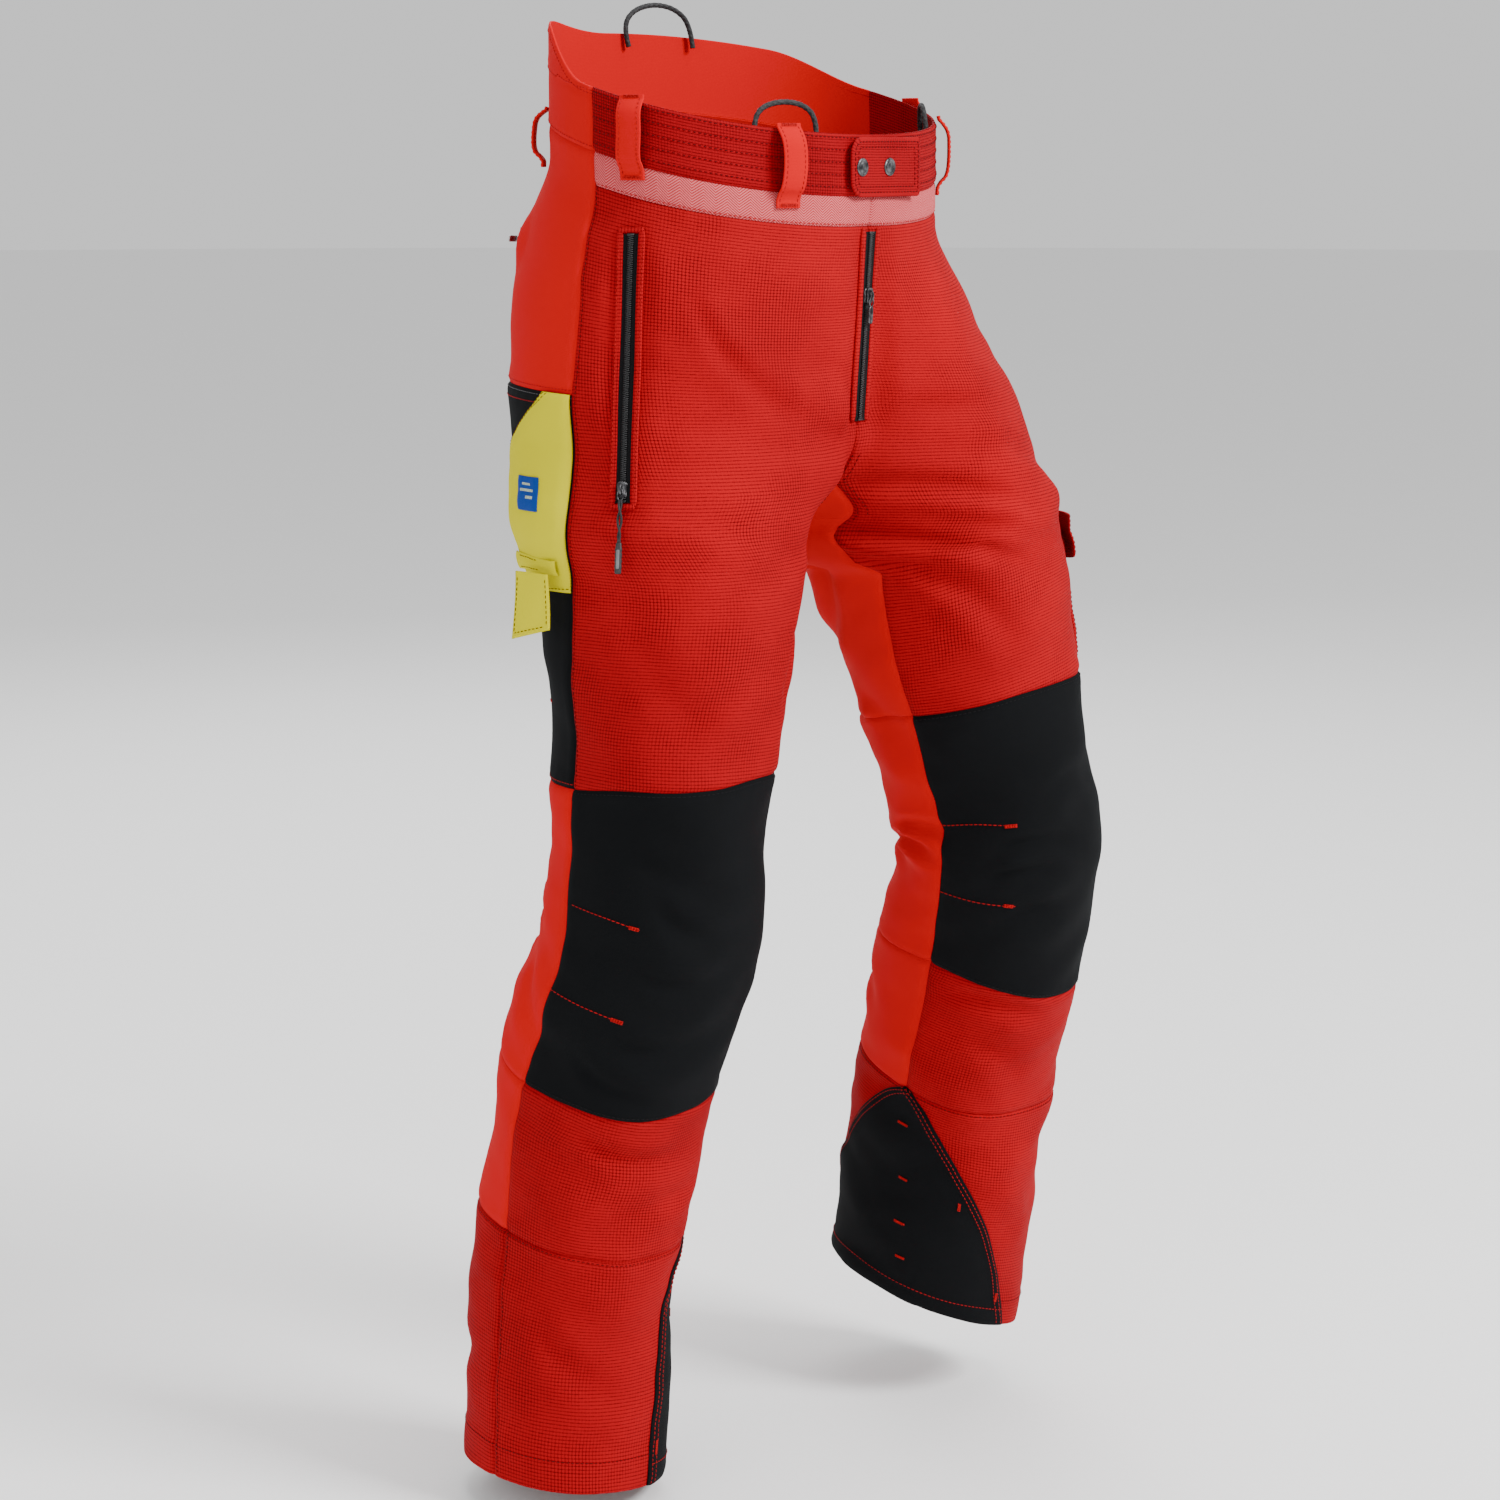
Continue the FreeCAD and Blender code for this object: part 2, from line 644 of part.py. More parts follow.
SNAP_PLACES = (-31, 3)
studs, caps = [], []
for number, across in enumerate(SNAP_PLACES, start=1):
    stud = doc.addObject("Part::Cylinder", f"snap_stud_{number}")
    stud.setExpression("Radius", "Sizes.stud_radius")
    stud.setExpression("Height", "Sizes.stud_height")
    stud.Placement = tab_face.multiply(FreeCAD.Placement(Vector(across, 0, 0.2), FreeCAD.Rotation()))
    studs.append(stud)
    cap = doc.addObject("Part::Cone", f"snap_cap_{number}")
    cap.setExpression("Radius1", "Sizes.cap_radius")
    cap.setExpression("Radius2", "Sizes.cap_radius * 0.72")
    cap.setExpression("Height", "Sizes.cap_height")
    front_face = size("tab_gap") + size("tab_thickness")
    cap.Placement = tab_face.multiply(FreeCAD.Placement(Vector(across, 0, front_face), FreeCAD.Rotation()))
    caps.append(cap)
for node, members in (("snap_studs", studs), ("snap_caps", caps)):
    group = doc.addObject("Part::Compound", node)
    group.Links = members
    keep(node, group)

# ---------------------------------------------------------------- belt loops
# side, angle, middle and length of each loop
LOOP_PLACES = [
    (RIGHT, -12, 0, 60), (LEFT, -12, 0, 60), (RIGHT, -62, 0, 60), (LEFT, -42, 0, 60),
    (RIGHT, 46, 30, 44), (LEFT, 46, 30, 44), (RIGHT, 90, 0, 60),
]


def belt_loop(side, t, middle, length):
    """A strap loop sewn down at its top and bottom ends, laid along the cloth."""
    above, below = surface_point(side, middle - 26, t), surface_point(side, middle + 26, t)
    foot = (above + below) * 0.5
    up = (above - below).normalize()
    outward = outward_at(side, middle, t)
    outward = (outward - up * outward.dot(up)).normalize()
    wall, stand, clear = size("loop_thickness"), size("loop_stand_off"), 0.4
    low, high = -26.0 * length / 60, 34.0 * length / 60
    profile = [
        (clear, low), (clear + wall, low), (clear + stand, low + 12), (clear + stand, high - 14),
        (clear + wall, high), (clear, high), (clear, high - 4), (clear + stand - wall, high - 16),
        (clear + stand - wall, low + 14), (clear, low + 6),
    ]
    across = up.cross(outward)
    half = size("loop_width") / 2
    points = [foot + outward * out + up * rise - across * half for out, rise in profile]
    face = Part.Face(Part.makePolygon(points + points[:1]))
    return face.extrude(across * size("loop_width"))


keep_shape("belt_loops", Part.makeCompound([belt_loop(*place) for place in LOOP_PLACES]))


# ---------------------------------------------------------------- brace loops
def cord_loop(node, base, across, up, route):
    """A cord along runs and tangent arcs through route points, given as across and up steps."""
    points = [base + across * a + up * b for a, b in route]
    runs = [(q - p).Length for p, q in zip(points, points[1:])]
    edges, last = [], points[0]
    for k in range(1, len(points) - 1):
        before = (points[k] - points[k - 1]).normalize()
        after = (points[k + 1] - points[k]).normalize()
        turn = before.getAngle(after)
        trim = 0.45 * min(runs[k - 1], runs[k])
        radius = trim / math.tan(turn / 2)
        print(node, "bend radius", round(radius, 1))
        into, out = points[k] - before * trim, points[k] + after * trim
        bisector = (after - before).normalize()
        centre = into + (bisector - before * bisector.dot(before)).normalize() * radius
        middle = centre + (points[k] - centre).normalize() * radius
        edges.append(Part.LineSegment(last, into).toShape())
        edges.append(Part.Arc(into, middle, out).toShape())
        last = out
    edges.append(Part.LineSegment(last, points[-1]).toShape())
    path = Part.Wire(edges)
    circle = Part.Circle(points[0], points[1] - points[0], size("cord_diameter") / 2)
    profile = Part.Wire([circle.toShape()])
    tube = path.makePipeShell([profile], True, False)
    section = math.pi * (size("cord_diameter") / 2) ** 2
    print(node, "length", round(path.Length, 1), "volume ratio",
          round(tube.Volume / (section * path.Length), 3))
    return keep_shape(node, tube)


inside = fabric + 4.8 + size("cord_diameter") / 2
back_t, back_spread = 80, 14
back_base = surface_point(LEFT, 0, back_t, inside + 1) + Vector(0, 0, -back_top(180 - back_t) - 8)
back_along = surface_point(LEFT, 0, back_t - back_spread) - surface_point(LEFT, 0, back_t + back_spread)
back_along.z = 0
back_along.normalize()
cord_loop("back_brace_loop", back_base, back_along, Vector(0, 0.1, 1).normalize(),
          [(-33, 0), (-37, 15), (-27, 28), (-5, 34), (18, 31), (33, 19), (34, 0)])
front_routes = {
    RIGHT: [(-28, 0), (-29, 14), (-20, 24), (-2, 27), (16, 23), (24, 13), (25, 0)],
    LEFT: [(-20, 0), (-19, 13), (-9, 23), (7, 24), (18, 14), (21, 0)],
}
for side, name, t, lean, sink in ((RIGHT, "right", -62, 0.5, 8), (LEFT, "left", -38, 0.3, 14)):
    base = surface_point(side, 0, t, inside) + Vector(0, 0, -size("waist_top") - sink)
    along = (surface_point(side, 0, t + 4) - surface_point(side, 0, t - 4))
    along.z = 0
    along.normalize()
    outward = outward_at(side, 0, t)
    rise = (Vector(0, 0, 1) + outward * lean * -0.3).normalize()
    cord_loop(f"{name}_brace_loop", base, along, rise, front_routes[side])

# ---------------------------------------------------------------- first-aid pouch
pouch_clear = 1.8
pouch_depth = -pouch_clear - size("pouch_thickness")
pouch_rows = [200, 207, 214, 222, 230, 238, 248, 260, 283, 310, 345]


def pouch_edge(s, depth):
    """The curved rear edge of the pouch: narrow at the top, full below."""
    return 20 + 44 * ease((s - 188) / 62)


keep_shape("first_aid_pouch", shell(RIGHT, pouch_rows, seam + 2, pouch_edge, pouch_depth,
                                    size("pouch_thickness"), across=9, ruled=True))
strap_depth = pouch_depth - pouch_clear - 1.6
keep_shape("pouch_strap", shell(RIGHT, [318, 325, 332], seam + 5, 52, strap_depth, 1.6, across=7))
tail_top = surface_point(RIGHT, 324, 14, strap_depth - 4.6)
tail_out = outward_at(RIGHT, 324, 2)
tail_body = doc.addObject("PartDesign::Body", "pouch_tail")
tail_outline = new_sketch(tail_body, "pouch_tail_outline", "XY_Plane")
add_rectangle(tail_outline, "tail", "-18", "-46", "18", "0")
pad(tail_body, "pouch_tail_pad", tail_outline, "Sizes.flap_thickness", midplane=True)
tail_body.Placement = set_on(tail_top, Vector(0, 0, 1), tail_out)
keep("pouch_tail", tail_body)

# ---------------------------------------------------------------- cargo pocket
cargo_clear = 0.5
cargo_depth = -cargo_clear - size("cargo_thickness")
CARGO_SPAN = (-44, 6)
keep_shape("cargo_pocket", shell(LEFT, [318, 345, 375, 410, 452], *CARGO_SPAN, cargo_depth,
                                 size("cargo_thickness"), across=9))
flap_depth = cargo_depth - cargo_clear - size("flap_thickness")
keep_shape("cargo_flap", shell(LEFT, [305, 322, 342, 362], CARGO_SPAN[0] - 3, CARGO_SPAN[1] - 1, flap_depth,
                               size("flap_thickness"), across=9))

# ---------------------------------------------------------------- check and export
doc.recompute()
for item in doc.Objects:
    if "Invalid" in item.State or "Error" in item.State:
        raise RuntimeError(f"{item.Name} failed: {item.State}")
for node, item in SUB_PARTS.items():
    shape = item.Shape
    if shape.isNull() or not shape.isValid() or shape.Volume <= 0 or not shape.Solids:
        raise RuntimeError(f"{node} has no valid solid")
os.makedirs("parts", exist_ok=True)
for node, item in SUB_PARTS.items():
    item.Shape.exportStep(f"parts/{node}.step")
print(len(SUB_PARTS), "sub-parts written")
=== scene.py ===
"""Chainsaw protection trousers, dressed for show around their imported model.

Sizes here are in millimetres and degrees, and MeshBag turns them into metres. The frame
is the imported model's: +X is the wearer's left, -Y the front, +Z up, and the origin is the
middle of the waist. A place on the cloth is a distance s down from the waist line and an
angle t round the leg: 0 is the outer side, -90 the front, +90 the back and 180 the inside.
"""
import logging
import math
from dataclasses import dataclass
from enum import Enum
from typing import Callable

import bpy
import numpy as np
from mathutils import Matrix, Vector


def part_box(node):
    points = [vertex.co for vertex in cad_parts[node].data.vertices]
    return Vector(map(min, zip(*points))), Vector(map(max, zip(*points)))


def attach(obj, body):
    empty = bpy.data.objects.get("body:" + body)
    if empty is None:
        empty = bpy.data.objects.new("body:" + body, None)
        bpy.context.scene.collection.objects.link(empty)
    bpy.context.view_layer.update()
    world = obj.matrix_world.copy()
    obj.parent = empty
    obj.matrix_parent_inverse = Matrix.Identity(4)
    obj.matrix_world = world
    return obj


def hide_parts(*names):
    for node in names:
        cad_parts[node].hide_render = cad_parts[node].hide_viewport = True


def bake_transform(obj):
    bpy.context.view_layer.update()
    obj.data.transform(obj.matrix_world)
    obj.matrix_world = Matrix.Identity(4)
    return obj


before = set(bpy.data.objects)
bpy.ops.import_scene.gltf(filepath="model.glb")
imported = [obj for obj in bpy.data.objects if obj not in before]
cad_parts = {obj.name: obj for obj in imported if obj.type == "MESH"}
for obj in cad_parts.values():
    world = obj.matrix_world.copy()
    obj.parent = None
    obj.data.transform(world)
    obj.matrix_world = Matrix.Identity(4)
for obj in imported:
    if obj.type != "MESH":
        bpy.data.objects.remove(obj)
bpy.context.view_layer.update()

logging.basicConfig(level=logging.INFO, format="%(message)s")
LOG = logging.getLogger("trousers")

Array = np.ndarray
MILLIMETRE = 0.001


class Side(Enum):
    """The wearer's two sides, valued as the sign of X."""

    RIGHT = -1
    LEFT = 1

    @property
    def word(self) -> str:
        """The side's name as the nodes and bodies spell it."""
        return self.name.lower()


# ---- the cut of the garment
CROTCH = 295.0
WAIST_LEAN = 0.26
ROUNDNESS = 2.2
WAIST_TOP, WAIST_BOTTOM, YOKE_BOTTOM, HIP_JOIN = -30.0, 16.0, 40.0, 190.0
KNEE_TOP, KNEE_BOTTOM, CALF_JOIN, HEM = 487.0, 727.0, 848.0, 1030.0
LEFT_KNEE_RISE = 28.0
FABRIC = 1.4
UNSEAMED = (False,) * 4
SIDE_PANEL_EDGE = 75.0

# s, offset of the leg from the mid-plane, half width, depth to the front, depth to the back
GIRTH = np.array([
    (-100, 0, 166, 121, 128), (40, 0, 166, 121, 128), (80, 9, 168, 121, 144),
    (140, 28, 163, 120, 152), (200, 50, 147, 119, 146), (250, 78, 124, 118, 127),
    (295, 104, 103.4, 114, 108), (360, 107, 90, 103, 93), (480, 107, 78, 87, 85),
    (580, 107, 75, 84, 82), (670, 107, 76, 84, 85), (800, 107, 73, 79, 86),
    (930, 107, 73, 78, 84), (1030, 107, 72, 77, 83),
], float)

# s, step outward, step backward, depth below the waist, slope outward, slope backward
STANCE = {
    Side.RIGHT: np.array([
        (-100, 0, 0, -100, 0, 0), (100, 0, 0, 100, 0, 0), (295, 1, -6, 295, 0, 0),
        (360, 2, -9, 360, 0.03, 0), (500, 8, -10, 500, 0.05, 0.02),
        (600, 13, -2, 600, 0.05, 0.15), (680, 18, 22, 680, 0.04, 0.28),
        (800, 22, 52, 800, 0.02, 0.22), (930, 26, 73, 935, 0.05, 0.10),
        (1030, 28, 80, 1056, 0.12, 0.035),
    ], float),
    Side.LEFT: np.array([
        (-100, 0, 0, -100, 0, 0), (50, 0, 0, 50, 0, 0), (140, 7, -24, 140, 0, 0),
        (200, 14, -42, 200, 0, 0), (295, 24, -66, 294, 0, 0),
        (360, 40, -77, 355, 0.15, -0.15), (470, 64, -92, 458, 0.20, -0.14),
        (580, 87, -103, 560, 0.14, 0), (660, 99, -86, 635, 0.12, 0.20),
        (770, 114, -55, 737, 0.10, 0.28), (840, 126, -34, 802, 0.02, 0.28),
        (930, 136, -14, 890, -0.10, 0.28), (1030, 144, 8, 990, -0.25, 0.29),
    ], float),
}

# s and t of the outer side seam, and of the seam up the inside of the leg
SIDE_SEAM = np.array([
    (-60, 4), (16, 3), (80, 2), (170, 1), (266, 1), (350, 6), (484, 14), (556, 15),
    (610, 11), (668, 10), (732, 14), (848, 10), (948, 6), (1030, 5),
], float)
INNER_SEAM = np.array([
    (240, -122), (262, -135), (280, -137), (295, -142), (310, -153), (328, -167), (352, -173),
    (400, -176), (450, -177), (520, -179), (1030, -180),
], float)

# t and s of the upper and lower edges of the knee panels, once round each leg
KNEE_UPPER = {
    Side.RIGHT: np.array([(-180, 482), (-103, 476), (-71, 481), (-42, 484), (-15, 486),
                          (14, 491), (100, 488), (180, 482)], float),
    Side.LEFT: np.array([(-180, 452), (-128, 451), (-57, 459), (8, 462), (100, 458),
                         (180, 452)], float),
}
KNEE_LOWER = {
    Side.RIGHT: np.array([(-180, 712), (-89, 716), (-60, 723), (-16, 728), (14, 730),
                          (100, 724), (180, 712)], float),
    Side.LEFT: np.array([(-180, 685), (-149, 690), (-76, 704), (8, 706), (100, 696),
                         (180, 685)], float),
}


def smooth_rows(rows: Array, at: Array) -> Array:
    """Smooth values between given rows that never overshoot them.

    Each stretch is a cubic whose end slopes are the harmonic mean of the neighbouring
    rises, or zero where the rises change sign.

    Args:
        rows: one row per station, with the station first.
        at: any array of places.

    Returns:
        An array with one leading entry for each column after the first.
    """
    at = np.asarray(at, float)
    xs, ys = rows[:, 0], rows[:, 1:].T
    steps = np.diff(xs)
    rises = np.diff(ys, axis=1) / steps
    before, after = rises[:, :-1], rises[:, 1:]
    w1, w2 = 2 * steps[1:] + steps[:-1], steps[1:] + 2 * steps[:-1]
    with np.errstate(divide="ignore", invalid="ignore"):
        mean = (w1 + w2) / (w1 / before + w2 / after)
    inner = np.where(before * after > 0, mean, 0.0)
    slopes = np.concatenate([rises[:, :1], inner, rises[:, -1:]], axis=1)
    x = np.clip(at, xs[0], xs[-1])
    k = np.clip(np.searchsorted(xs, x, side="right") - 1, 0, len(steps) - 1)
    h = steps[k]
    f = (x - xs[k]) / h
    return ((1 + 2 * f) * (1 - f) ** 2 * ys[:, k] + f * (1 - f) ** 2 * h * slopes[:, k]
            + f * f * (3 - 2 * f) * ys[:, k + 1] + f * f * (f - 1) * h * slopes[:, k + 1])


def ease(value: Array) -> Array:
    """0 below 0, 1 above 1 and a smooth step between."""
    v = np.clip(value, 0.0, 1.0)
    return v * v * (3 - 2 * v)


def unit(vectors: Array) -> Array:
    """Vectors scaled to length one."""
    return vectors / np.maximum(np.linalg.norm(vectors, axis=-1, keepdims=True), 1e-9)


def turned(t: Array) -> Array:
    """Angles brought into -180 to 180."""
    return (np.asarray(t, float) + 180.0) % 360.0 - 180.0


def half_turn(s: Array) -> Array:
    """The angle at which the section at s reaches the mid-plane, or 180 degrees."""
    offset, half_width = smooth_rows(GIRTH, s)[:2]
    reach = np.clip(offset / half_width, 0.0, 1.0)
    return np.degrees(np.arccos(-(reach ** (ROUNDNESS / 2))))


def side_seam(s: Array) -> Array:
    """The angle of the outer side seam at s."""
    return smooth_rows(SIDE_SEAM, s)[0]


def inner_seam(s: Array) -> Array:
    """The angle of the seam up the inside of the leg."""
    return smooth_rows(INNER_SEAM, s)[0]


def front_edge(s: Array) -> Array:
    """The inner edge of the fronts: fly, crotch seam and then the inner leg seam."""
    return np.maximum(-half_turn(s), inner_seam(s))


def back_edge(s: Array) -> Array:
    """The inner edge of the backs: seat seam and then the inner leg seam."""
    return np.where(np.asarray(s) < CROTCH, half_turn(s), 360 + inner_seam(s))


def back_top(a: Array) -> Array:
    """The raised back's top edge, from the right side seam over 90 to the left one at 180."""
    right = 28 * ease((a - 7) / 30) - 15 * ease((a - 42) / 42)
    left = 13 * ease((173 - a) / 34)
    return WAIST_TOP - np.where(a < 90, right, left)


@dataclass(frozen=True)
class Crease:
    """A soft fold: a valley along a line with a ridge along one flank.

    The ends are (s, t) places, the depth is that of the valley and the width is from the
    valley to the ridge.
    """

    start: tuple[float, float]
    end: tuple[float, float]
    depth: float
    width: float


CREASES = {
    Side.RIGHT: (
        Crease((282, -150), (150, -58), 3.4, 10), Crease((292, -165), (225, -62), 3.0, 9),
        Crease((104, -36), (232, -106), 1.8, 9), Crease((300, -158), (440, -118), 3.2, 9),
        Crease((306, -128), (360, -52), 2.2, 12), Crease((338, -18), (452, -66), 1.4, 14),
        Crease((84, -16), (140, -14), 1.2, 9), Crease((395, -100), (470, -30), 1.5, 12),
        Crease((566, -36), (592, -98), 3.0, 9), Crease((616, -30), (606, -104), 2.4, 8),
        Crease((668, -28), (640, -108), 3.2, 10), Crease((690, -10), (704, -76), 1.8, 8),
        Crease((532, -20), (548, -84), 1.4, 10), Crease((576, 60), (584, 165), 4.6, 8),
        Crease((606, 45), (604, 170), 5.4, 8), Crease((636, 60), (632, 150), 4.0, 8),
        Crease((744, -22), (756, -96), 2.6, 8), Crease((790, -110), (858, -30), 1.8, 12),
        Crease((905, -14), (968, -92), 2.0, 12), Crease((950, 20), (1010, 120), 2.0, 12),
        Crease((760, 60), (800, 150), 2.6, 10), Crease((285, 160), (210, 110), 3.0, 10),
        Crease((296, 170), (262, 90), 3.2, 9), Crease((318, 160), (380, 100), 3.0, 10),
        Crease((640, 40), (700, -2), 2.0, 9), Crease((120, 60), (170, 140), 1.6, 14),
    ),
    Side.LEFT: (
        Crease((270, -140), (282, -86), 3.8, 9), Crease((256, -128), (196, -66), 3.0, 10),
        Crease((300, -160), (352, -96), 3.6, 9), Crease((318, -166), (420, -112), 3.0, 10),
        Crease((236, -88), (300, -26), 2.4, 12), Crease((352, -62), (440, -14), 1.6, 14),
        Crease((574, -148), (590, -84), 4.6, 9), Crease((596, -152), (606, -92), 3.8, 8),
        Crease((530, -112), (544, -60), 2.0, 10), Crease((640, -150), (628, -80), 2.4, 9),
        Crease((560, 148), (566, -172), 4.8, 7), Crease((582, 128), (586, -176), 5.4, 7),
        Crease((604, 60), (600, 150), 4.6, 8), Crease((556, 50), (552, 130), 3.4, 8),
        Crease((708, -168), (724, -96), 2.4, 8), Crease((740, -150), (800, -100), 2.0, 11),
        Crease((880, -100), (950, -60), 2.0, 12), Crease((730, 60), (770, 150), 2.6, 10),
        Crease((285, 160), (215, 100), 3.0, 10), Crease((318, 165), (400, 120), 3.0, 10),
        Crease((640, 40), (690, -6), 2.0, 9), Crease((120, 60), (170, 140), 1.6, 14),
        Crease((900, 20), (960, 120), 2.0, 12), Crease((430, 150), (520, -175), 2.4, 12),
    ),
}


@dataclass(frozen=True)
class ZipLine:
    """A straight zip laid on the cloth: its ends, its length and its three directions."""

    start: Array
    end: Array
    along: Array
    outward: Array

    @property
    def across(self) -> Array:
        """The direction across the tape."""
        return np.cross(self.along, self.outward)

    @property
    def length(self) -> float:
        """The length from end to end."""
        return float(np.linalg.norm(self.end - self.start))

    def place(self, along: Array, across: Array, above: Array) -> Array:
        """Points given along, across and above the face of the tape."""
        parts = np.broadcast_arrays(along, across, above)
        return (self.start + parts[0][..., None] * self.along
                + parts[1][..., None] * self.across + parts[2][..., None] * self.outward)


class Garment:
    """The cloth's surface: the cut, with its folds, laid flat where a zip runs.

    Every panel and trim samples this one surface, so neighbours meet along their seams. The
    two backs are the exception: they stay up to 2 mm apart along the seat seam.
    """

    RIPPLES = 22
    TAPE_FLOOR = -1.7
    # beside a zip: the half width held flat, the fade beyond it, and how deep the hold reaches
    ZIP_HOLD, ZIP_FADE, ZIP_REACH = 9, 22, 40

    def __init__(self) -> None:
        """Draws the soft ripples and lays out the four zips."""
        draw = np.random.default_rng(41)
        count = self.RIPPLES
        self.turns = draw.integers(0, 5, count)
        self.pitch = draw.uniform(70, 210, count) * draw.choice([-1, 1], count)
        self.phase = draw.uniform(0, 2 * math.pi, count)
        self.height = draw.uniform(0.15, 0.5, count)
        self.fine_turns = draw.integers(3, 11, count)
        self.fine_pitch = draw.uniform(24, 60, count) * draw.choice([-1, 1], count)
        self.fine_phase = draw.uniform(0, 2 * math.pi, count)
        self.zips: dict[str, ZipLine] = {
            "right_front_pocket": self.zip_line(Side.RIGHT, (66, -13), (266, -20), 1.5),
            "left_front_pocket": self.zip_line(Side.LEFT, (70, -13), (262, -20), 2.0),
            "back_pocket": self.zip_line(Side.RIGHT, (101, 50), (108, 84), 3.0),
            "fly": self.fly_line(),
        }

    def cut(self, side: Side, s: Array, t: Array) -> Array:
        """The outer face as cut, before folds.

        The section is a superellipse whose front and back depths differ. It is moved and
        tilted by the stance, and it is held to its own side of the mid-plane.

        Args:
            side: the wearer's side.
            s: distances below the waist line.
            t: angles round the leg.

        Returns:
            Points, with the coordinates last.
        """
        s, t = np.broadcast_arrays(np.asarray(s, float), np.asarray(t, float))
        offset, half_width, front, back = smooth_rows(GIRTH, s)
        power = 2 / ROUNDNESS
        cosine, sine = np.cos(np.radians(t)), np.sin(np.radians(t))
        fore_aft = np.where(sine < 0, front, back)
        x = offset + half_width * np.sign(cosine) * np.abs(cosine) ** power
        y = fore_aft * np.sign(sine) * np.abs(sine) ** power
        x = np.maximum(x, 0.0)
        outward, backward, below, slope_out, slope_back = smooth_rows(STANCE[side], s)
        apart = ease((s - CROTCH) / 50)
        reach = 90 * (1 - apart) + 0.1
        share = np.maximum(ease(x / reach), apart)
        x = x + share * outward
        y = y + share * backward
        lean = WAIST_LEAN * (1 - ease(s / 250))
        z = -below + lean * y + slope_out * (x - offset - outward) + slope_back * (y - backward)
        return np.stack([side.value * x, y, z], axis=-1)

    def folds(self, side: Side, s: Array, t: Array, x: Array) -> Array:
        """How far the cloth stands out from its cut.

        Broad ripples are sums of cosines that close round the leg, fine ones are weaker
        and quicker, and each crease is a pair of bell curves across its line. All of it
        dies away towards the mid-plane above the crotch, and near the waist.

        Args:
            side: the wearer's side.
            s: distances below the waist line.
            t: angles round the leg.
            x: distances from the mid-plane.

        Returns:
            Heights above the cut.
        """
        turn = np.radians(t)[..., None]
        flip = 0.0 if side is Side.RIGHT else 2.1
        run = s[..., None] * 2 * math.pi
        broad = self.height * np.cos(self.turns * turn + run / self.pitch + self.phase + flip)
        fine = 0.085 * np.cos(self.fine_turns * turn + run / self.fine_pitch
                              + self.fine_phase + flip)
        total = broad.sum(-1) + fine.sum(-1)
        radius = smooth_rows(GIRTH, s)[1] * math.pi / 180
        for crease in CREASES[side]:
            (s0, t0), (s1, t1) = crease.start, crease.end
            scale = float(smooth_rows(GIRTH, np.array((s0 + s1) / 2))[1]) * math.pi / 180
            line = np.array([s1 - s0, turned(t1 - t0) * scale])
            length = float(np.hypot(*line))
            line = line / length
            from_start = turned(t - t0) * (0.5 * scale + 0.5 * radius)
            down = s - s0
            along = (down * line[0] + from_start * line[1]) / length
            bow = 0.10 * length * (along * (1 - along) * 4)
            across = down * line[1] - from_start * line[0] + bow
            window = ease(along / 0.3 + 0.25) * ease((1 - along) / 0.45 + 0.1)
            width = crease.width * (0.75 + 0.6 * np.clip(along, 0, 1))
            valley = np.exp(-((across / width) ** 2))
            ridge = np.exp(-(((across - 1.7 * width) / (1.2 * width)) ** 2))
            other = np.exp(-(((across + 1.6 * width) / (1.3 * width)) ** 2))
            total = total + 1.3 * crease.depth * window * (0.75 * ridge + 0.4 * other - valley)
        free = np.maximum(ease(x / 30), ease((s - CROTCH) / 30))
        return total * free * ease((s - 26) / 60)

    def face(self, side: Side, s: Array, t: Array) -> Array:
        """The outer face with its folds, flattened under each zip."""
        s, t = np.broadcast_arrays(np.asarray(s, float), np.asarray(t, float))
        point = self.cut(side, s, t)
        down = self.cut(side, s + 2, t) - self.cut(side, s - 2, t)
        across = self.cut(side, s, t + 1) - self.cut(side, s, t - 1)
        normal = unit(np.cross(down, across)) * side.value
        height = self.folds(side, s, t, np.abs(point[..., 0]))
        return self.lay_under_zips(point + normal * height[..., None])

    def lay_under_zips(self, point: Array) -> Array:
        """Moves points near a zip to a plane just below its tape, fading over ZIP_FADE."""
        for line in self.zips.values():
            rel = point - line.start
            u, w, h = rel @ line.along, rel @ line.across, rel @ line.outward
            beyond = np.maximum(np.maximum(-u, u - line.length), 0.0)
            hold = 1 - ease((np.hypot(w, beyond) - self.ZIP_HOLD) / self.ZIP_FADE)
            hold = hold * (np.abs(h) < self.ZIP_REACH)
            point = point + ((self.TAPE_FLOOR - h) * hold)[..., None] * line.outward
        return point

    def sample(self, side: Side, s: Array, t: Array, lift: Array = 0.0) -> tuple[Array, Array]:
        """Points standing a given height off the cloth, and its outward normals.

        Args:
            side: the wearer's side.
            s: distances below the waist line.
            t: angles round the leg.
            lift: heights above the outer face.

        Returns:
            The points and the unit normals.
        """
        s, t = np.broadcast_arrays(np.asarray(s, float), np.asarray(t, float))
        point = self.face(side, s, t)
        down = self.face(side, s + 1.2, t) - self.face(side, s - 1.2, t)
        across = self.face(side, s, t + 0.8) - self.face(side, s, t - 0.8)
        normal = unit(np.cross(down, across)) * side.value
        raised = point + normal * np.broadcast_to(lift, s.shape)[..., None]
        own = np.maximum(raised[..., 0] * side.value, 0.0) * side.value
        raised[..., 0] = np.where(s < 420, own, raised[..., 0])
        return raised, normal

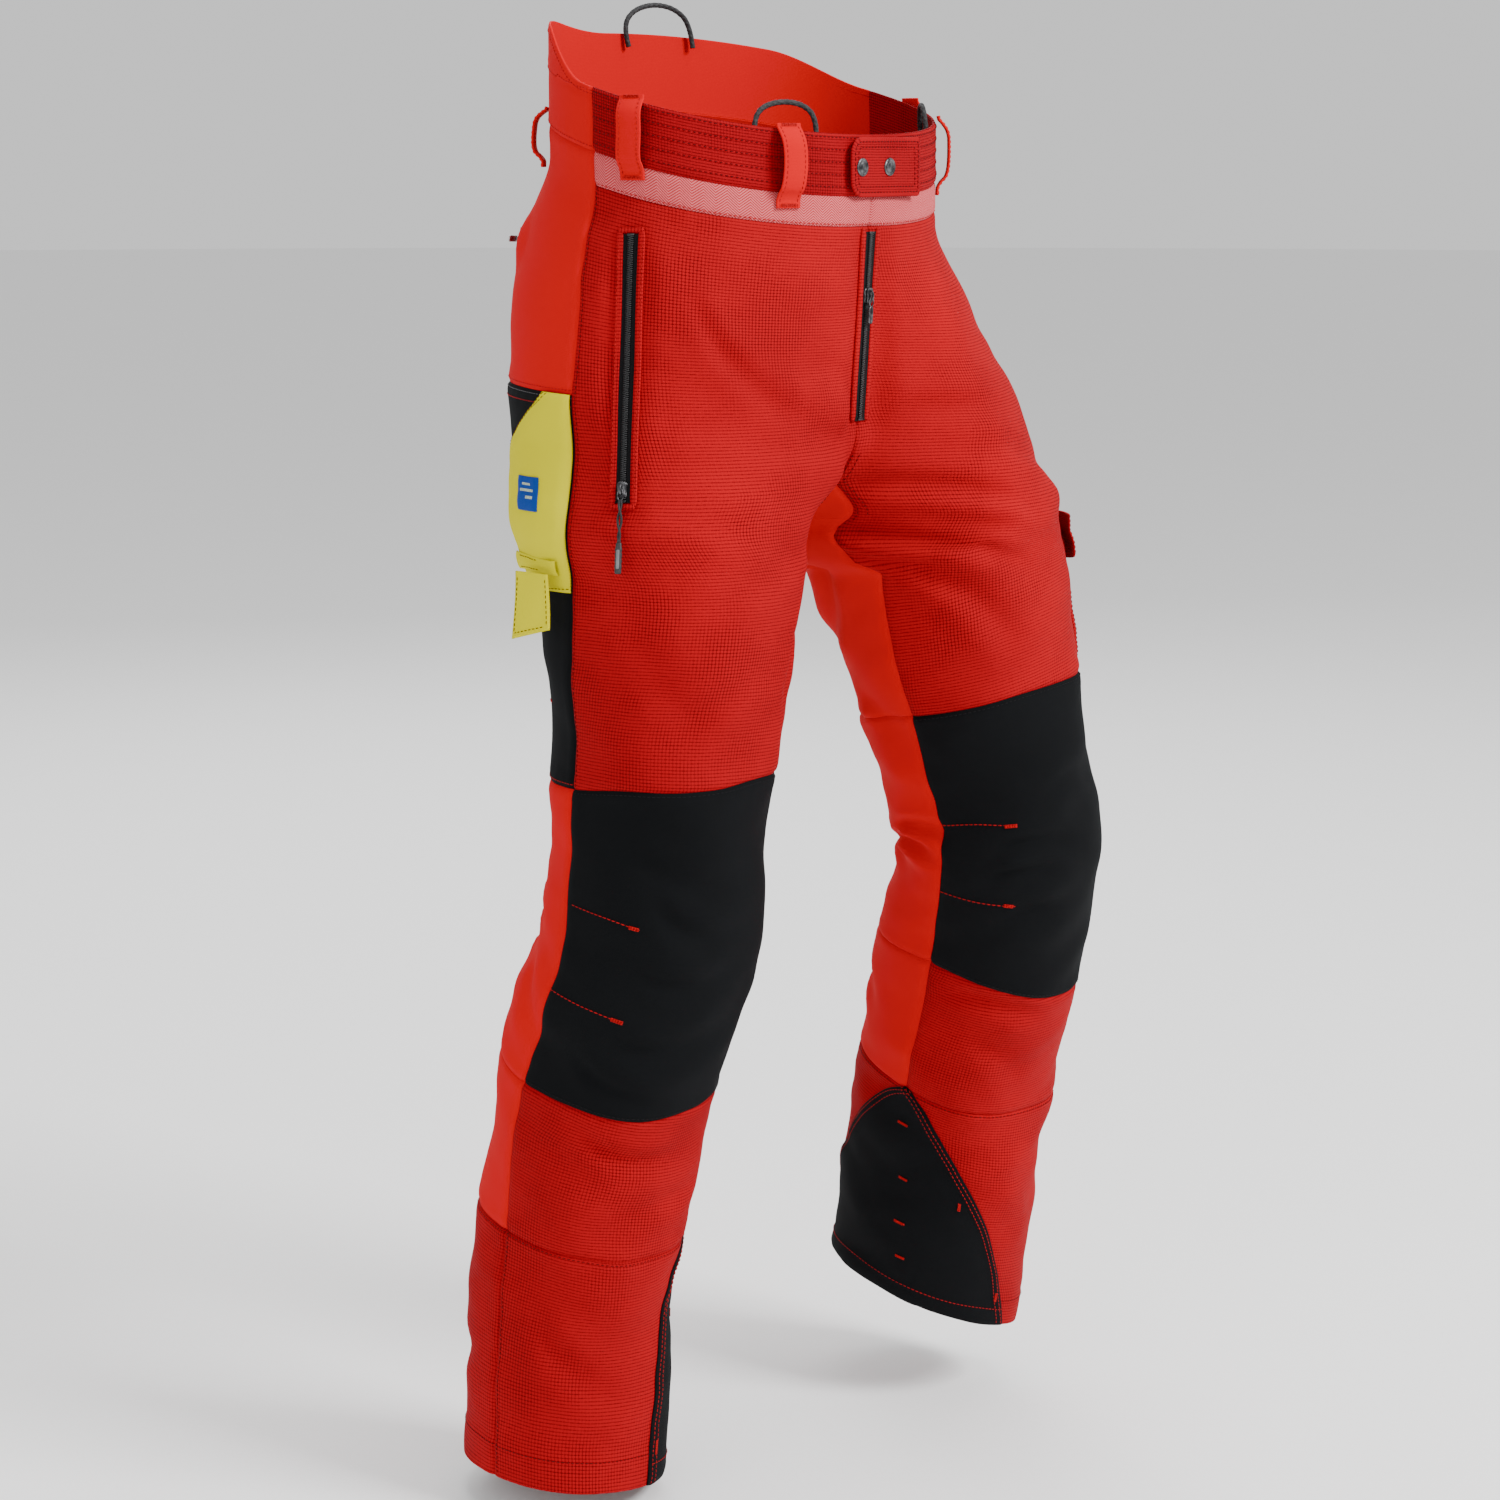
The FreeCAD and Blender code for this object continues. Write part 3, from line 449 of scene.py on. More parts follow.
    def around(self, s: Array, a: Array, lift: Array = 0.0) -> tuple[Array, Array]:
        """Like sample, with a running from the right side over 90 to the left side at 180."""
        s, a = np.broadcast_arrays(np.asarray(s, float), np.asarray(a, float))
        first = self.sample(Side.RIGHT, s, np.minimum(a, 90), lift)
        second = self.sample(Side.LEFT, s, np.minimum(180 - a, 90), lift)
        right = (a <= 90)[..., None]
        return np.where(right, first[0], second[0]), np.where(right, first[1], second[1])

    def zip_line(self, side: Side, upper: tuple[float, float], lower: tuple[float, float],
                 stand: float) -> ZipLine:
        """A straight zip between two places, standing off the cut."""
        (s0, t0), (s1, t1) = upper, lower
        start = self.cut(side, np.array(s0), np.array(t0))
        end = self.cut(side, np.array(s1), np.array(t1))
        s, t = (s0 + s1) / 2, (t0 + t1) / 2
        down = self.cut(side, s + 2, t) - self.cut(side, s - 2, t)
        across = self.cut(side, s, t + 1) - self.cut(side, s, t - 1)
        normal = unit(np.cross(down, across)) * side.value
        along = unit(end - start)
        normal = unit(normal - along * float(normal @ along))
        return ZipLine(start + normal * stand, end + normal * stand, along, normal)

    def fly_line(self) -> ZipLine:
        """The fly's zip on the mid-plane, set slightly into the cloth."""
        start, end = (self.cut(Side.RIGHT, np.array(s), -half_turn(np.array(s)))
                      for s in (44.0, 214.0))
        along = unit(end - start)
        normal = np.array([0.0, -1.0, 0.0])
        normal = unit(normal - along * float(normal @ along))
        return ZipLine(start - normal * 0.6, end - normal * 0.6, along, normal)


# ---- mesh making
class MeshBag:
    """Gathers closed shapes in millimetres and makes one object of them in metres."""

    def __init__(self) -> None:
        """An empty bag."""
        self.points: list[Array] = []
        self.uvs: list[Array] = []
        self.faces: list[Array] = []
        self.count = 0

    def add(self, points: Array, faces: list[Array], uv: Array | None = None) -> None:
        """Adds a closed shape, turned so that its faces point outwards.

        The sign of six times its volume, summed over a fan of every face, says which way
        its faces point now.

        Args:
            points: its corners.
            faces: arrays of corner numbers, one array for each number of sides.
            uv: a pattern place in millimetres for each corner.
        """
        points = points.reshape(-1, 3)
        centred = points - points.mean(0)
        volume = 0.0
        for group in faces:
            for k in range(1, group.shape[1] - 1):
                a, b, c = centred[group[:, 0]], centred[group[:, k]], centred[group[:, k + 1]]
                volume += float((a * np.cross(b, c)).sum())
        for group in faces:
            ordered = group if volume >= 0 else group[:, ::-1]
            self.faces.append(ordered + self.count)
        self.points.append(points)
        self.uvs.append(np.zeros((len(points), 2)) if uv is None else uv.reshape(-1, 2))
        self.count += len(points)

    def make(self, name: str, finish: "Finish", smooth: bool = True) -> bpy.types.Object:
        """Makes the object, with its pattern map in metres, and gives it a finish.

        Args:
            name: the piece's name.
            finish: its finish.
            smooth: whether its faces are shaded smooth.

        Returns:
            The linked object.
        """
        points = np.concatenate(self.points) * MILLIMETRE
        uv = np.concatenate(self.uvs) * MILLIMETRE
        corners = np.concatenate([group.ravel() for group in self.faces])
        sizes = np.concatenate([np.full(len(g), g.shape[1]) for g in self.faces])
        mesh = bpy.data.meshes.new(name)
        mesh.vertices.add(len(points))
        mesh.vertices.foreach_set("co", points.astype(np.float32).ravel())
        mesh.loops.add(len(corners))
        mesh.loops.foreach_set("vertex_index", corners.astype(np.int32))
        mesh.polygons.add(len(sizes))
        mesh.polygons.foreach_set("loop_start", (np.cumsum(sizes) - sizes).astype(np.int32))
        mesh.polygons.foreach_set("use_smooth", np.full(len(sizes), smooth))
        layer = mesh.uv_layers.new(name="cloth")
        layer.data.foreach_set("uv", uv[corners].astype(np.float32).ravel())
        mesh.update(calc_edges=True)
        mesh.validate()
        piece = bpy.data.objects.new(name, mesh)
        bpy.context.scene.collection.objects.link(piece)
        mesh.materials.append(finish.material())
        return piece


def grid_faces(rows: int, columns: int, start: int = 0, closed: bool = False) -> Array:
    """Quads of a grid of corners, whose columns may close on themselves."""
    r = np.arange(rows - 1)[:, None] * columns + start
    c = np.arange(columns if closed else columns - 1)[None, :]
    n = (c + 1) % columns
    return np.stack([r + c, r + n, r + columns + n, r + columns + c], axis=-1).reshape(-1, 4)


def shell(outer: Array, inner: Array, uv: Array) -> tuple[Array, list[Array], Array]:
    """A closed shell between an outer and an inner grid, with a rim along all four edges."""
    rows, columns = outer.shape[:2]
    size = rows * columns
    number = np.arange(size).reshape(rows, columns)
    loop = np.concatenate([number[0], number[1:, -1], number[-1, -2::-1], number[-2:0:-1, 0]])
    after = np.roll(loop, -1)
    rim = np.stack([loop, loop + size, after + size, after], axis=-1)
    faces = [grid_faces(rows, columns), grid_faces(rows, columns, size)[:, ::-1], rim]
    points = np.concatenate([outer.reshape(-1, 3), inner.reshape(-1, 3)])
    return points, [np.concatenate(faces)], np.concatenate([uv.reshape(-1, 2)] * 2)


def swept(path: Array, across: Array, up: Array, profile: Array,
          scale: Array | float = 1.0) -> tuple[Array, list[Array], Array]:
    """A closed bar: a profile carried along a path and capped at both ends.

    A corner is the path point plus its profile's two parts along across and up.

    Args:
        path: the points it follows.
        across: the direction of the profile's first part at each point, or at all.
        up: the direction of its second part.
        profile: its outline, going round once.
        scale: the profile's size at each point, or at all.

    Returns:
        Corners, faces and pattern places.
    """
    count, sides = len(path), len(profile)
    scale = np.broadcast_to(scale, (count,))[:, None, None]
    across = np.broadcast_to(across, path.shape)[:, None, :]
    up = np.broadcast_to(up, path.shape)[:, None, :]
    points = path[:, None, :] + scale * (across * profile[None, :, :1] + up * profile[None, :, 1:])
    run = np.concatenate([[0], np.cumsum(np.linalg.norm(np.diff(path, axis=0), axis=1))])
    uv = np.stack(np.broadcast_arrays(profile[None, :, 0], run[:, None]), axis=-1)
    caps = np.stack([np.arange(sides)[::-1], np.arange(sides) + (count - 1) * sides])
    return points, [grid_faces(count, sides, closed=True), caps], uv


def round_bar(path: Array, radius: Array | float, sides: int = 8) -> tuple[Array, list[Array], Array]:
    """A round rod along a path; its directions come from the path's own tangents."""
    tangent = unit(np.gradient(path, axis=0))
    guide = np.array([0.31, 0.17, 0.93]) if abs(tangent[:, 2]).mean() < 0.8 else np.array([0.93, 0.2, 0.1])
    across = unit(np.cross(tangent, guide))
    up = np.cross(tangent, across)
    turn = np.linspace(0, 2 * math.pi, sides, endpoint=False)
    profile = np.stack([np.cos(turn), np.sin(turn)], axis=-1)
    return swept(path, across, up, profile, radius)


def rounded_outline(width: float, height: float, corners: tuple[float, float, float, float],
                    steps: int = 7) -> Array:
    """A rectangle's outline about its middle, with each corner turned as a quarter circle."""
    turn = np.linspace(0, math.pi / 2, steps)
    parts = []
    for k, radius in enumerate(corners):
        sign = np.array([(1, 1), (-1, 1), (-1, -1), (1, -1)][k])
        centre = sign * (np.array([width, height]) / 2 - radius)
        angle = turn + k * math.pi / 2
        parts.append(centre + radius * np.stack([np.cos(angle), np.sin(angle)], axis=-1))
    return np.concatenate(parts)


def turned_plate(outline: Array, layers: list[tuple[float, float]], origin: Array,
                 axes: Array) -> tuple[Array, list[Array], Array]:
    """A plate or button: its outline at several heights, drawn in by a given inset at each.

    Args:
        outline: a convex outline in the plate's own plane.
        layers: the inset and the height of each ring, from the back to the front.
        origin: the middle of the plate.
        axes: its three directions, one in each row.

    Returns:
        Corners, faces and pattern places.
    """
    edge = np.roll(outline, -1, axis=0) - np.roll(outline, 1, axis=0)
    inward = unit(np.stack([-edge[:, 1], edge[:, 0]], axis=-1))
    inward *= np.sign(-(inward * (outline - outline.mean(0))).sum())
    rings = []
    for inset, height in layers:
        flat = outline + inward * inset
        rings.append(origin + flat[:, :1] * axes[0] + flat[:, 1:] * axes[1] + height * axes[2])
    sides = len(outline)
    points = np.stack(rings)
    caps = np.stack([np.arange(sides)[::-1], np.arange(sides) + (len(layers) - 1) * sides])
    uv = np.broadcast_to(outline[None], (len(layers), sides, 2))
    return points, [grid_faces(len(layers), sides, closed=True), caps], uv


def stitches(path: Array, normal: Array, length: float = 2.7, gap: float = 1.1,
             radius: float = 0.34) -> tuple[Array, list[Array]]:
    """A row of separate stitches along a path, each a five-sided bead with tapered ends.

    Stitch k lies from k times the pitch to that plus its length, measured along the path.

    Args:
        path: close points along the row.
        normal: the cloth's outward directions there.
        length: the length of a stitch.
        gap: the space between stitches.
        radius: the thread's radius.

    Returns:
        Corners and faces of all the stitches.
    """
    run = np.concatenate([[0], np.cumsum(np.linalg.norm(np.diff(path, axis=0), axis=1))])
    pitch = length + gap
    starts = np.arange(0.5, max(run[-1] - length, 0.6), pitch)
    spans = starts[:, None] + np.array([0.0, 0.22, 0.78, 1.0]) * length
    at = np.stack([np.interp(spans, run, path[:, k]) for k in range(3)], axis=-1)
    up = unit(np.stack([np.interp(spans, run, normal[:, k]) for k in range(3)], axis=-1))
    across = unit(np.cross(at[:, -1:] - at[:, :1], up))
    sides = 5
    turn = np.linspace(0, 2 * math.pi, sides, endpoint=False) + 0.3
    size = radius * np.array([0.3, 1.0, 1.0, 0.3])[None, :, None, None]
    rise = np.array([-0.5, 0.25, 0.25, -0.5])[None, :, None, None] * radius
    points = (at[:, :, None] + up[:, :, None] * rise
              + size * (across[:, :, None] * np.cos(turn)[:, None] + up[:, :, None] * np.sin(turn)[:, None]))
    block = grid_faces(4, sides, closed=True)
    caps = np.stack([np.arange(sides)[::-1], np.arange(sides) + 3 * sides])
    step = (np.arange(len(starts)) * 4 * sides)[:, None, None]
    return points, [(block + step).reshape(-1, 4), (caps + step).reshape(-1, sides)]


# ---- finishes
class Shader:
    """A small helper that lays out one material's nodes."""

    def __init__(self, name: str) -> None:
        """A material with only its output and its main shader."""
        self.material = bpy.data.materials.new(name)
        self.material.use_nodes = True
        self.tree = self.material.node_tree
        self.tree.nodes.clear()
        self.surface = self.node("ShaderNodeBsdfPrincipled")
        output = self.node("ShaderNodeOutputMaterial")
        self.link(self.surface.outputs["BSDF"], output.inputs["Surface"])

    def node(self, kind: str, **settings: object) -> bpy.types.Node:
        """Adds a node and sets its properties."""
        node = self.tree.nodes.new(kind)
        for key, value in settings.items():
            setattr(node, key, value)
        return node

    def link(self, source: bpy.types.NodeSocket, target: bpy.types.NodeSocket) -> None:
        """Joins two sockets."""
        self.tree.links.new(source, target)

    def feed(self, socket: bpy.types.NodeSocket, value: object) -> None:
        """Sets a socket to a number or links another socket to it."""
        if isinstance(value, bpy.types.NodeSocket):
            self.link(value, socket)
        else:
            socket.default_value = value

    def math(self, operation: str, *values: object) -> bpy.types.NodeSocket:
        """The result of a sum on numbers or sockets."""
        node = self.node("ShaderNodeMath", operation=operation)
        for socket, value in zip(node.inputs, values):
            self.feed(socket, value)
        return node.outputs[0]

    def map(self, value: object, low: float, high: float, to_low: float = 0.0,
            to_high: float = 1.0) -> bpy.types.NodeSocket:
        """A smooth step of a value between two bounds."""
        node = self.node("ShaderNodeMapRange", interpolation_type="SMOOTHSTEP")
        for socket, number in zip(node.inputs, (value, low, high, to_low, to_high)):
            self.feed(socket, number)
        return node.outputs[0]

    def cloth_place(self) -> tuple[bpy.types.NodeSocket, bpy.types.NodeSocket]:
        """The pattern's across and down places, in metres."""
        split = self.node("ShaderNodeSeparateXYZ")
        self.link(self.node("ShaderNodeUVMap", uv_map="cloth").outputs[0], split.inputs[0])
        return split.outputs[0], split.outputs[1]

    def noise(self, scale: float, detail: float = 3.0, along_cloth: bool = False) -> bpy.types.NodeSocket:
        """A noise on the piece's own coordinates, or on its pattern map."""
        node = self.node("ShaderNodeTexNoise")
        node.inputs["Scale"].default_value = scale
        node.inputs["Detail"].default_value = detail
        if along_cloth:
            self.link(self.node("ShaderNodeUVMap", uv_map="cloth").outputs[0], node.inputs["Vector"])
        else:
            self.link(self.node("ShaderNodeTexCoord").outputs["Object"], node.inputs["Vector"])
        return node.outputs[0]

    def lines(self, place: object, pitch: float, width: float, soft: float = 0.12) -> bpy.types.NodeSocket:
        """A mask of lines: 1 on a line of that share of the pitch and 0 between lines."""
        part = self.math("FRACT", self.math("DIVIDE", place, pitch))
        away = self.math("ABSOLUTE", self.math("SUBTRACT", part, 0.5))
        return self.map(away, width / 2 - soft / 2, width / 2 + soft / 2, 1.0, 0.0)

    def mix(self, share: object, first: object, second: object) -> bpy.types.NodeSocket:
        """A colour between two colours."""
        node = self.node("ShaderNodeMix", data_type="RGBA")
        self.feed(node.inputs[0], share)
        self.feed(node.inputs[6], first)
        self.feed(node.inputs[7], second)
        return node.outputs[2]

    def bump(self, height: bpy.types.NodeSocket, depth: float, strength: float = 1.0) -> None:
        """Raises the surface by a height of that depth in metres."""
        node = self.node("ShaderNodeBump")
        node.inputs["Strength"].default_value = strength
        node.inputs["Distance"].default_value = depth
        self.link(height, node.inputs["Height"])
        self.link(node.outputs[0], self.surface.inputs["Normal"])

    def colour(self, value: object) -> None:
        """Sets or links the base colour."""
        self.feed(self.surface.inputs["Base Color"], value)

    def set(self, **values: float) -> None:
        """Sets the main shader's own sockets, spelling spaces as underscores."""
        for key, value in values.items():
            self.surface.inputs[key.replace("_", " ")].default_value = value


class Pattern(Enum):
    """How a cloth is woven or made."""

    RIPSTOP = "squares of raised yarn"
    TWILL = "fine diagonals"
    KNIT = "fine upright ribs"
    HERRINGBONE = "zigzag bands"
    QUILT = "fibre under a thin cover"
    MESH = "open squares"


@dataclass(frozen=True)
class Finish:
    """A finish with a name and a slot name."""

    name: str
    slot: str

    def material(self) -> bpy.types.Material:
        """The finish's material, made once."""
        return bpy.data.materials.get(self.name) or self.build()

    def build(self) -> bpy.types.Material:
        """Makes the material."""
        raise NotImplementedError


@dataclass(frozen=True)
class Cloth(Finish):
    """A woven or knitted cloth with a ground colour and a darker shade between its yarns."""

    ground: tuple[float, float, float]
    shade: tuple[float, float, float]
    pattern: Pattern
    roughness: float = 0.8
    sheen: float = 0.25
    pitch: float = 0.0009
    relief: float = 0.00018
    tint: tuple[float, float, float] = (1.0, 1.0, 1.0)

    def build(self) -> bpy.types.Material:
        """Ground colour, yarn pattern and slight unevenness, with the yarns raised."""
        sh = Shader(self.name)
        x, y = sh.cloth_place()
        ground, shade = (*self.ground, 1.0), (*self.shade, 1.0)
        broad = sh.map(sh.noise(7.0, 4.0), 0.32, 0.68)
        fuzz = sh.noise(1500.0, 2.0)
        if self.pattern is Pattern.RIPSTOP:
            wander = sh.math("MULTIPLY", sh.math("SUBTRACT", sh.noise(60.0), 0.5), 0.0006)
            yy = sh.math("ADD", y, wander)
            weft = sh.lines(yy, self.pitch, 0.30, 0.26)
            warp = sh.lines(x, self.pitch * 1.06, 0.22, 0.24)
            dash = sh.lines(x, self.pitch * 0.53, 0.62, 0.3)
            patchy = sh.map(sh.noise(16.0, 3.0), 0.38, 0.66, 0.12, 0.85)
            weft = sh.math("MULTIPLY", weft, sh.math("ADD", sh.math("MULTIPLY", dash, 0.5), 0.5))
            streak = sh.map(sh.noise(420.0, 1.0, True), 0.3, 0.7, 0.55, 1.0)
            rows = sh.math("MULTIPLY", weft, streak)
            columns = sh.math("MULTIPLY", warp, patchy)
            mask = sh.math("MINIMUM", sh.math("ADD", sh.math("MULTIPLY", rows, 0.9),
                                              sh.math("MULTIPLY", columns, 0.85)), 1.0)
            height = sh.math("SUBTRACT", 1.0, mask)
            fine = sh.lines(y, self.pitch * 0.25, 0.5, 0.5)
            height = sh.math("ADD", height, sh.math("MULTIPLY", fine, 0.25))
        elif self.pattern is Pattern.HERRINGBONE:
            band = sh.math("PINGPONG", sh.math("DIVIDE", x, self.pitch * 4.2), 1.0)
            slant = sh.math("ADD", sh.math("DIVIDE", y, self.pitch), sh.math("MULTIPLY", band, 3.4))
            mask = sh.lines(slant, 1.0, 0.46, 0.3)
            height = sh.math("SUBTRACT", 1.0, mask)
        elif self.pattern is Pattern.KNIT:
            ribs = sh.lines(x, self.pitch, 0.45, 0.5)
            loops = sh.lines(sh.math("ADD", y, sh.math("MULTIPLY", ribs, self.pitch * 0.4)), self.pitch * 1.2,
                             0.4, 0.5)
            mask = sh.math("MULTIPLY", sh.math("ADD", ribs, loops), 0.35)
            height = sh.math("SUBTRACT", 1.0, mask)
        elif self.pattern is Pattern.QUILT:
            mask = sh.map(sh.noise(240.0, 4.0), 0.35, 0.7, 0.0, 0.6)
            height = sh.noise(300.0, 4.0)
        elif self.pattern is Pattern.MESH:
            mask = sh.math("MAXIMUM", sh.lines(x, self.pitch, 0.4, 0.3), sh.lines(y, self.pitch, 0.4, 0.3))
            height = mask
        else:
            slant = sh.math("ADD", x, sh.math("MULTIPLY", y, 0.8))
            mask = sh.math("MULTIPLY", sh.lines(slant, self.pitch, 0.4, 0.4), 0.75)
            height = sh.math("SUBTRACT", 1.0, mask)
        worn = sh.mix(sh.math("MULTIPLY", broad, 0.22), ground, shade)
        sh.colour(sh.mix(mask, worn, shade))
        height = sh.math("ADD", height, sh.math("MULTIPLY", fuzz, 0.35))
        sh.bump(height, self.relief)
        sh.set(Roughness=self.roughness, Sheen_Weight=self.sheen, Sheen_Roughness=0.45,
               Sheen_Tint=(*self.tint, 1.0), Specular_IOR_Level=0.08)
        return sh.material


@dataclass(frozen=True)
class Thread(Finish):
    """Sewing thread, twisted and slightly glossy."""

    tone: tuple[float, float, float]

    def build(self) -> bpy.types.Material:
        """A thread colour with a little unevenness along it."""
        sh = Shader(self.name)
        dark = tuple(0.55 * c for c in self.tone)
        sh.colour(sh.mix(sh.map(sh.noise(900.0), 0.3, 0.7), (*self.tone, 1.0), (*dark, 1.0)))
        sh.bump(sh.noise(2600.0), 0.0001)
        sh.set(Roughness=0.7, Specular_IOR_Level=0.1)
        return sh.material


@dataclass(frozen=True)
class Metal(Finish):
    """Plated metal with rubbed high places and dull hollows."""

    bright: tuple[float, float, float]
    dull: tuple[float, float, float]
    roughness: float = 0.3

    def build(self) -> bpy.types.Material:
        """Bright and dull plating mixed by a noise, with fine scratches."""
        sh = Shader(self.name)
        worn = sh.map(sh.noise(180.0, 5.0), 0.35, 0.65)
        sh.colour(sh.mix(worn, (*self.bright, 1.0), (*self.dull, 1.0)))
        sh.feed(sh.surface.inputs["Roughness"],
                sh.map(sh.noise(400.0), 0.3, 0.7, self.roughness, self.roughness + 0.2))
        sh.bump(sh.noise(1800.0), 0.00005)
        sh.set(Metallic=1.0)
        return sh.material


@dataclass(frozen=True)
class Moulded(Finish):
    """Moulded rubber or coil plastic."""

    tone: tuple[float, float, float]
    roughness: float = 0.5

    def build(self) -> bpy.types.Material:
        """A dark even colour with a fine grain and dusty patches."""
        sh = Shader(self.name)
        pale = tuple(2.2 * c + 0.004 for c in self.tone)
        sh.colour(sh.mix(sh.map(sh.noise(90.0, 4.0), 0.45, 0.8, 0.0, 0.6), (*self.tone, 1.0), (*pale, 1.0)))
        sh.bump(sh.noise(2200.0, 2.0), 0.00006)
        sh.feed(sh.surface.inputs["Roughness"],
                sh.map(sh.noise(300.0), 0.3, 0.7, self.roughness - 0.08, self.roughness + 0.1))
        return sh.material


RIPSTOP = Cloth("dark red ripstop", "ripstop", (0.36, 0.0006, 0.0050), (0.085, 0.0, 0.0012),
                Pattern.RIPSTOP, 0.85, 0.01, 0.0026, 0.00022, (1.0, 0.1, 0.1))
BAND = Cloth("waistband weave", "ripstop", (0.30, 0.0006, 0.0050), (0.06, 0.0, 0.0010),
             Pattern.RIPSTOP, 0.85, 0.01, 0.0022, 0.00035, (1.0, 0.1, 0.1))
STRETCH = Cloth("bright red stretch", "stretch", (0.54, 0.0, 0.0040), (0.42, 0.0, 0.0030),
                Pattern.KNIT, 0.85, 0.0, 0.0009, 0.00010, (1.0, 0.1, 0.1))
TAPE_PINK = Cloth("pink herringbone", "herringbone", (0.62, 0.14, 0.15), (0.40, 0.020, 0.026),
                  Pattern.HERRINGBONE, 0.85, 0.03, 0.0021, 0.00030, (1.0, 0.5, 0.5))
BLACK = Cloth("black hard-wearing twill", "black_fabric", (0.0042, 0.0047, 0.0054), (0.0016, 0.0018, 0.0022),
              Pattern.TWILL, 0.88, 0.004, 0.0010, 0.00022, (0.7, 0.8, 1.0))
YELLOW = Cloth("fluorescent yellow", "hi_vis", (0.66, 0.61, 0.0), (0.48, 0.41, 0.0),
               Pattern.TWILL, 0.8, 0.0, 0.0008, 0.00012)
PAD = Cloth("cut-resistant pad", "cut_pad", (0.80, 0.79, 0.74), (0.58, 0.57, 0.52),
            Pattern.QUILT, 0.95, 0.2, 0.002, 0.0008)
LINING = Cloth("thin red lining", "lining", (0.34, 0.004, 0.006), (0.18, 0.002, 0.003),
               Pattern.MESH, 0.75, 0.05, 0.0016, 0.00012, (1.0, 0.3, 0.3))
BAG_CLOTH = Cloth("pocket lining", "lining", (0.30, 0.004, 0.006), (0.20, 0.002, 0.003),
                  Pattern.TWILL, 0.75, 0.05, 0.0010, 0.00012, (1.0, 0.3, 0.3))
ZIP_TAPE = Cloth("zip tape", "zip_black", (0.007, 0.007, 0.008), (0.002, 0.002, 0.0025),
                 Pattern.HERRINGBONE, 0.8, 0.02, 0.0009, 0.0002)
COIL = Moulded("zip coil", "zip_black", (0.005, 0.005, 0.006), 0.38)
RUBBER = Moulded("moulded rubber", "pull_black", (0.008, 0.008, 0.009), 0.5)
GREY_RUBBER = Moulded("pale moulding", "pull_black", (0.10, 0.10, 0.105), 0.45)
CORD_CLOTH = Moulded("braided cord", "cord_black", (0.006, 0.006, 0.007), 0.75)
STEEL = Metal("plated metal", "slider_metal", (0.55, 0.55, 0.56), (0.16, 0.16, 0.17))
GUNMETAL = Metal("dark plated metal", "slider_metal", (0.16, 0.16, 0.165), (0.03, 0.03, 0.033), 0.35)
RED_THREAD = Thread("red thread", "stretch", (0.42, 0.004, 0.006))
DARK_THREAD = Thread("dark red thread", "ripstop", (0.09, 0.0015, 0.003))
BLACK_THREAD = Thread("black thread", "black_fabric", (0.008, 0.008, 0.009))
GREY_THREAD = Thread("grey thread", "black_fabric", (0.12, 0.12, 0.13))
LABEL_BLUE = Cloth("blue label", "hi_vis", (0.003, 0.05, 0.30), (0.002, 0.03, 0.18),
                   Pattern.TWILL, 0.6, 0.0, 0.0006, 0.00008)
LABEL_PALE = Thread("pale label bars", "hi_vis", (0.45, 0.52, 0.40))


# ---- riding
@dataclass(frozen=True)
class Ride:
    """What a piece moves with: one body, or, for a knee piece, none."""

    body: str
    knee: Side | None = None

    def apply(self, piece: bpy.types.Object) -> None:
        """Puts the piece on its body; a knee piece is left unattached, with its placement baked into its
        mesh.
        """
        if self.knee is None:
            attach(piece, self.body)
            return
        f"{self.knee.word}_shin"
        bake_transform(piece)


TRUNK = Ride("trousers")
SHIN = {side: Ride(f"{side.word}_shin") for side in Side}
KNEE = {side: Ride("", side) for side in Side}


class SewingBox:
    """Collects rows of stitches and makes one piece for each thread and ride."""

    def __init__(self) -> None:
        """An empty box."""
        self.bags: dict[tuple[Ride, Finish], MeshBag] = {}

    def sew(self, ride: Ride, thread: Finish, path: Array, normal: Array, **sizes: float) -> None:
        """Adds a row of stitches."""
        bag = self.bags.setdefault((ride, thread), MeshBag())
        points, faces = stitches(path, normal, **sizes)
        bag.add(points, faces)

    def finish(self) -> None:
        """Makes the pieces."""
        for (ride, thread), bag in self.bags.items():
            place = ride.body or f"{ride.knee.word}_knee"
            piece = bag.make(f"stitching_{place}_{thread.name.replace(' ', '_')}", thread)
            ride.apply(piece)
            LOG.info("%s: %d corners", piece.name, bag.count)


Edge = Callable[[Array], Array]


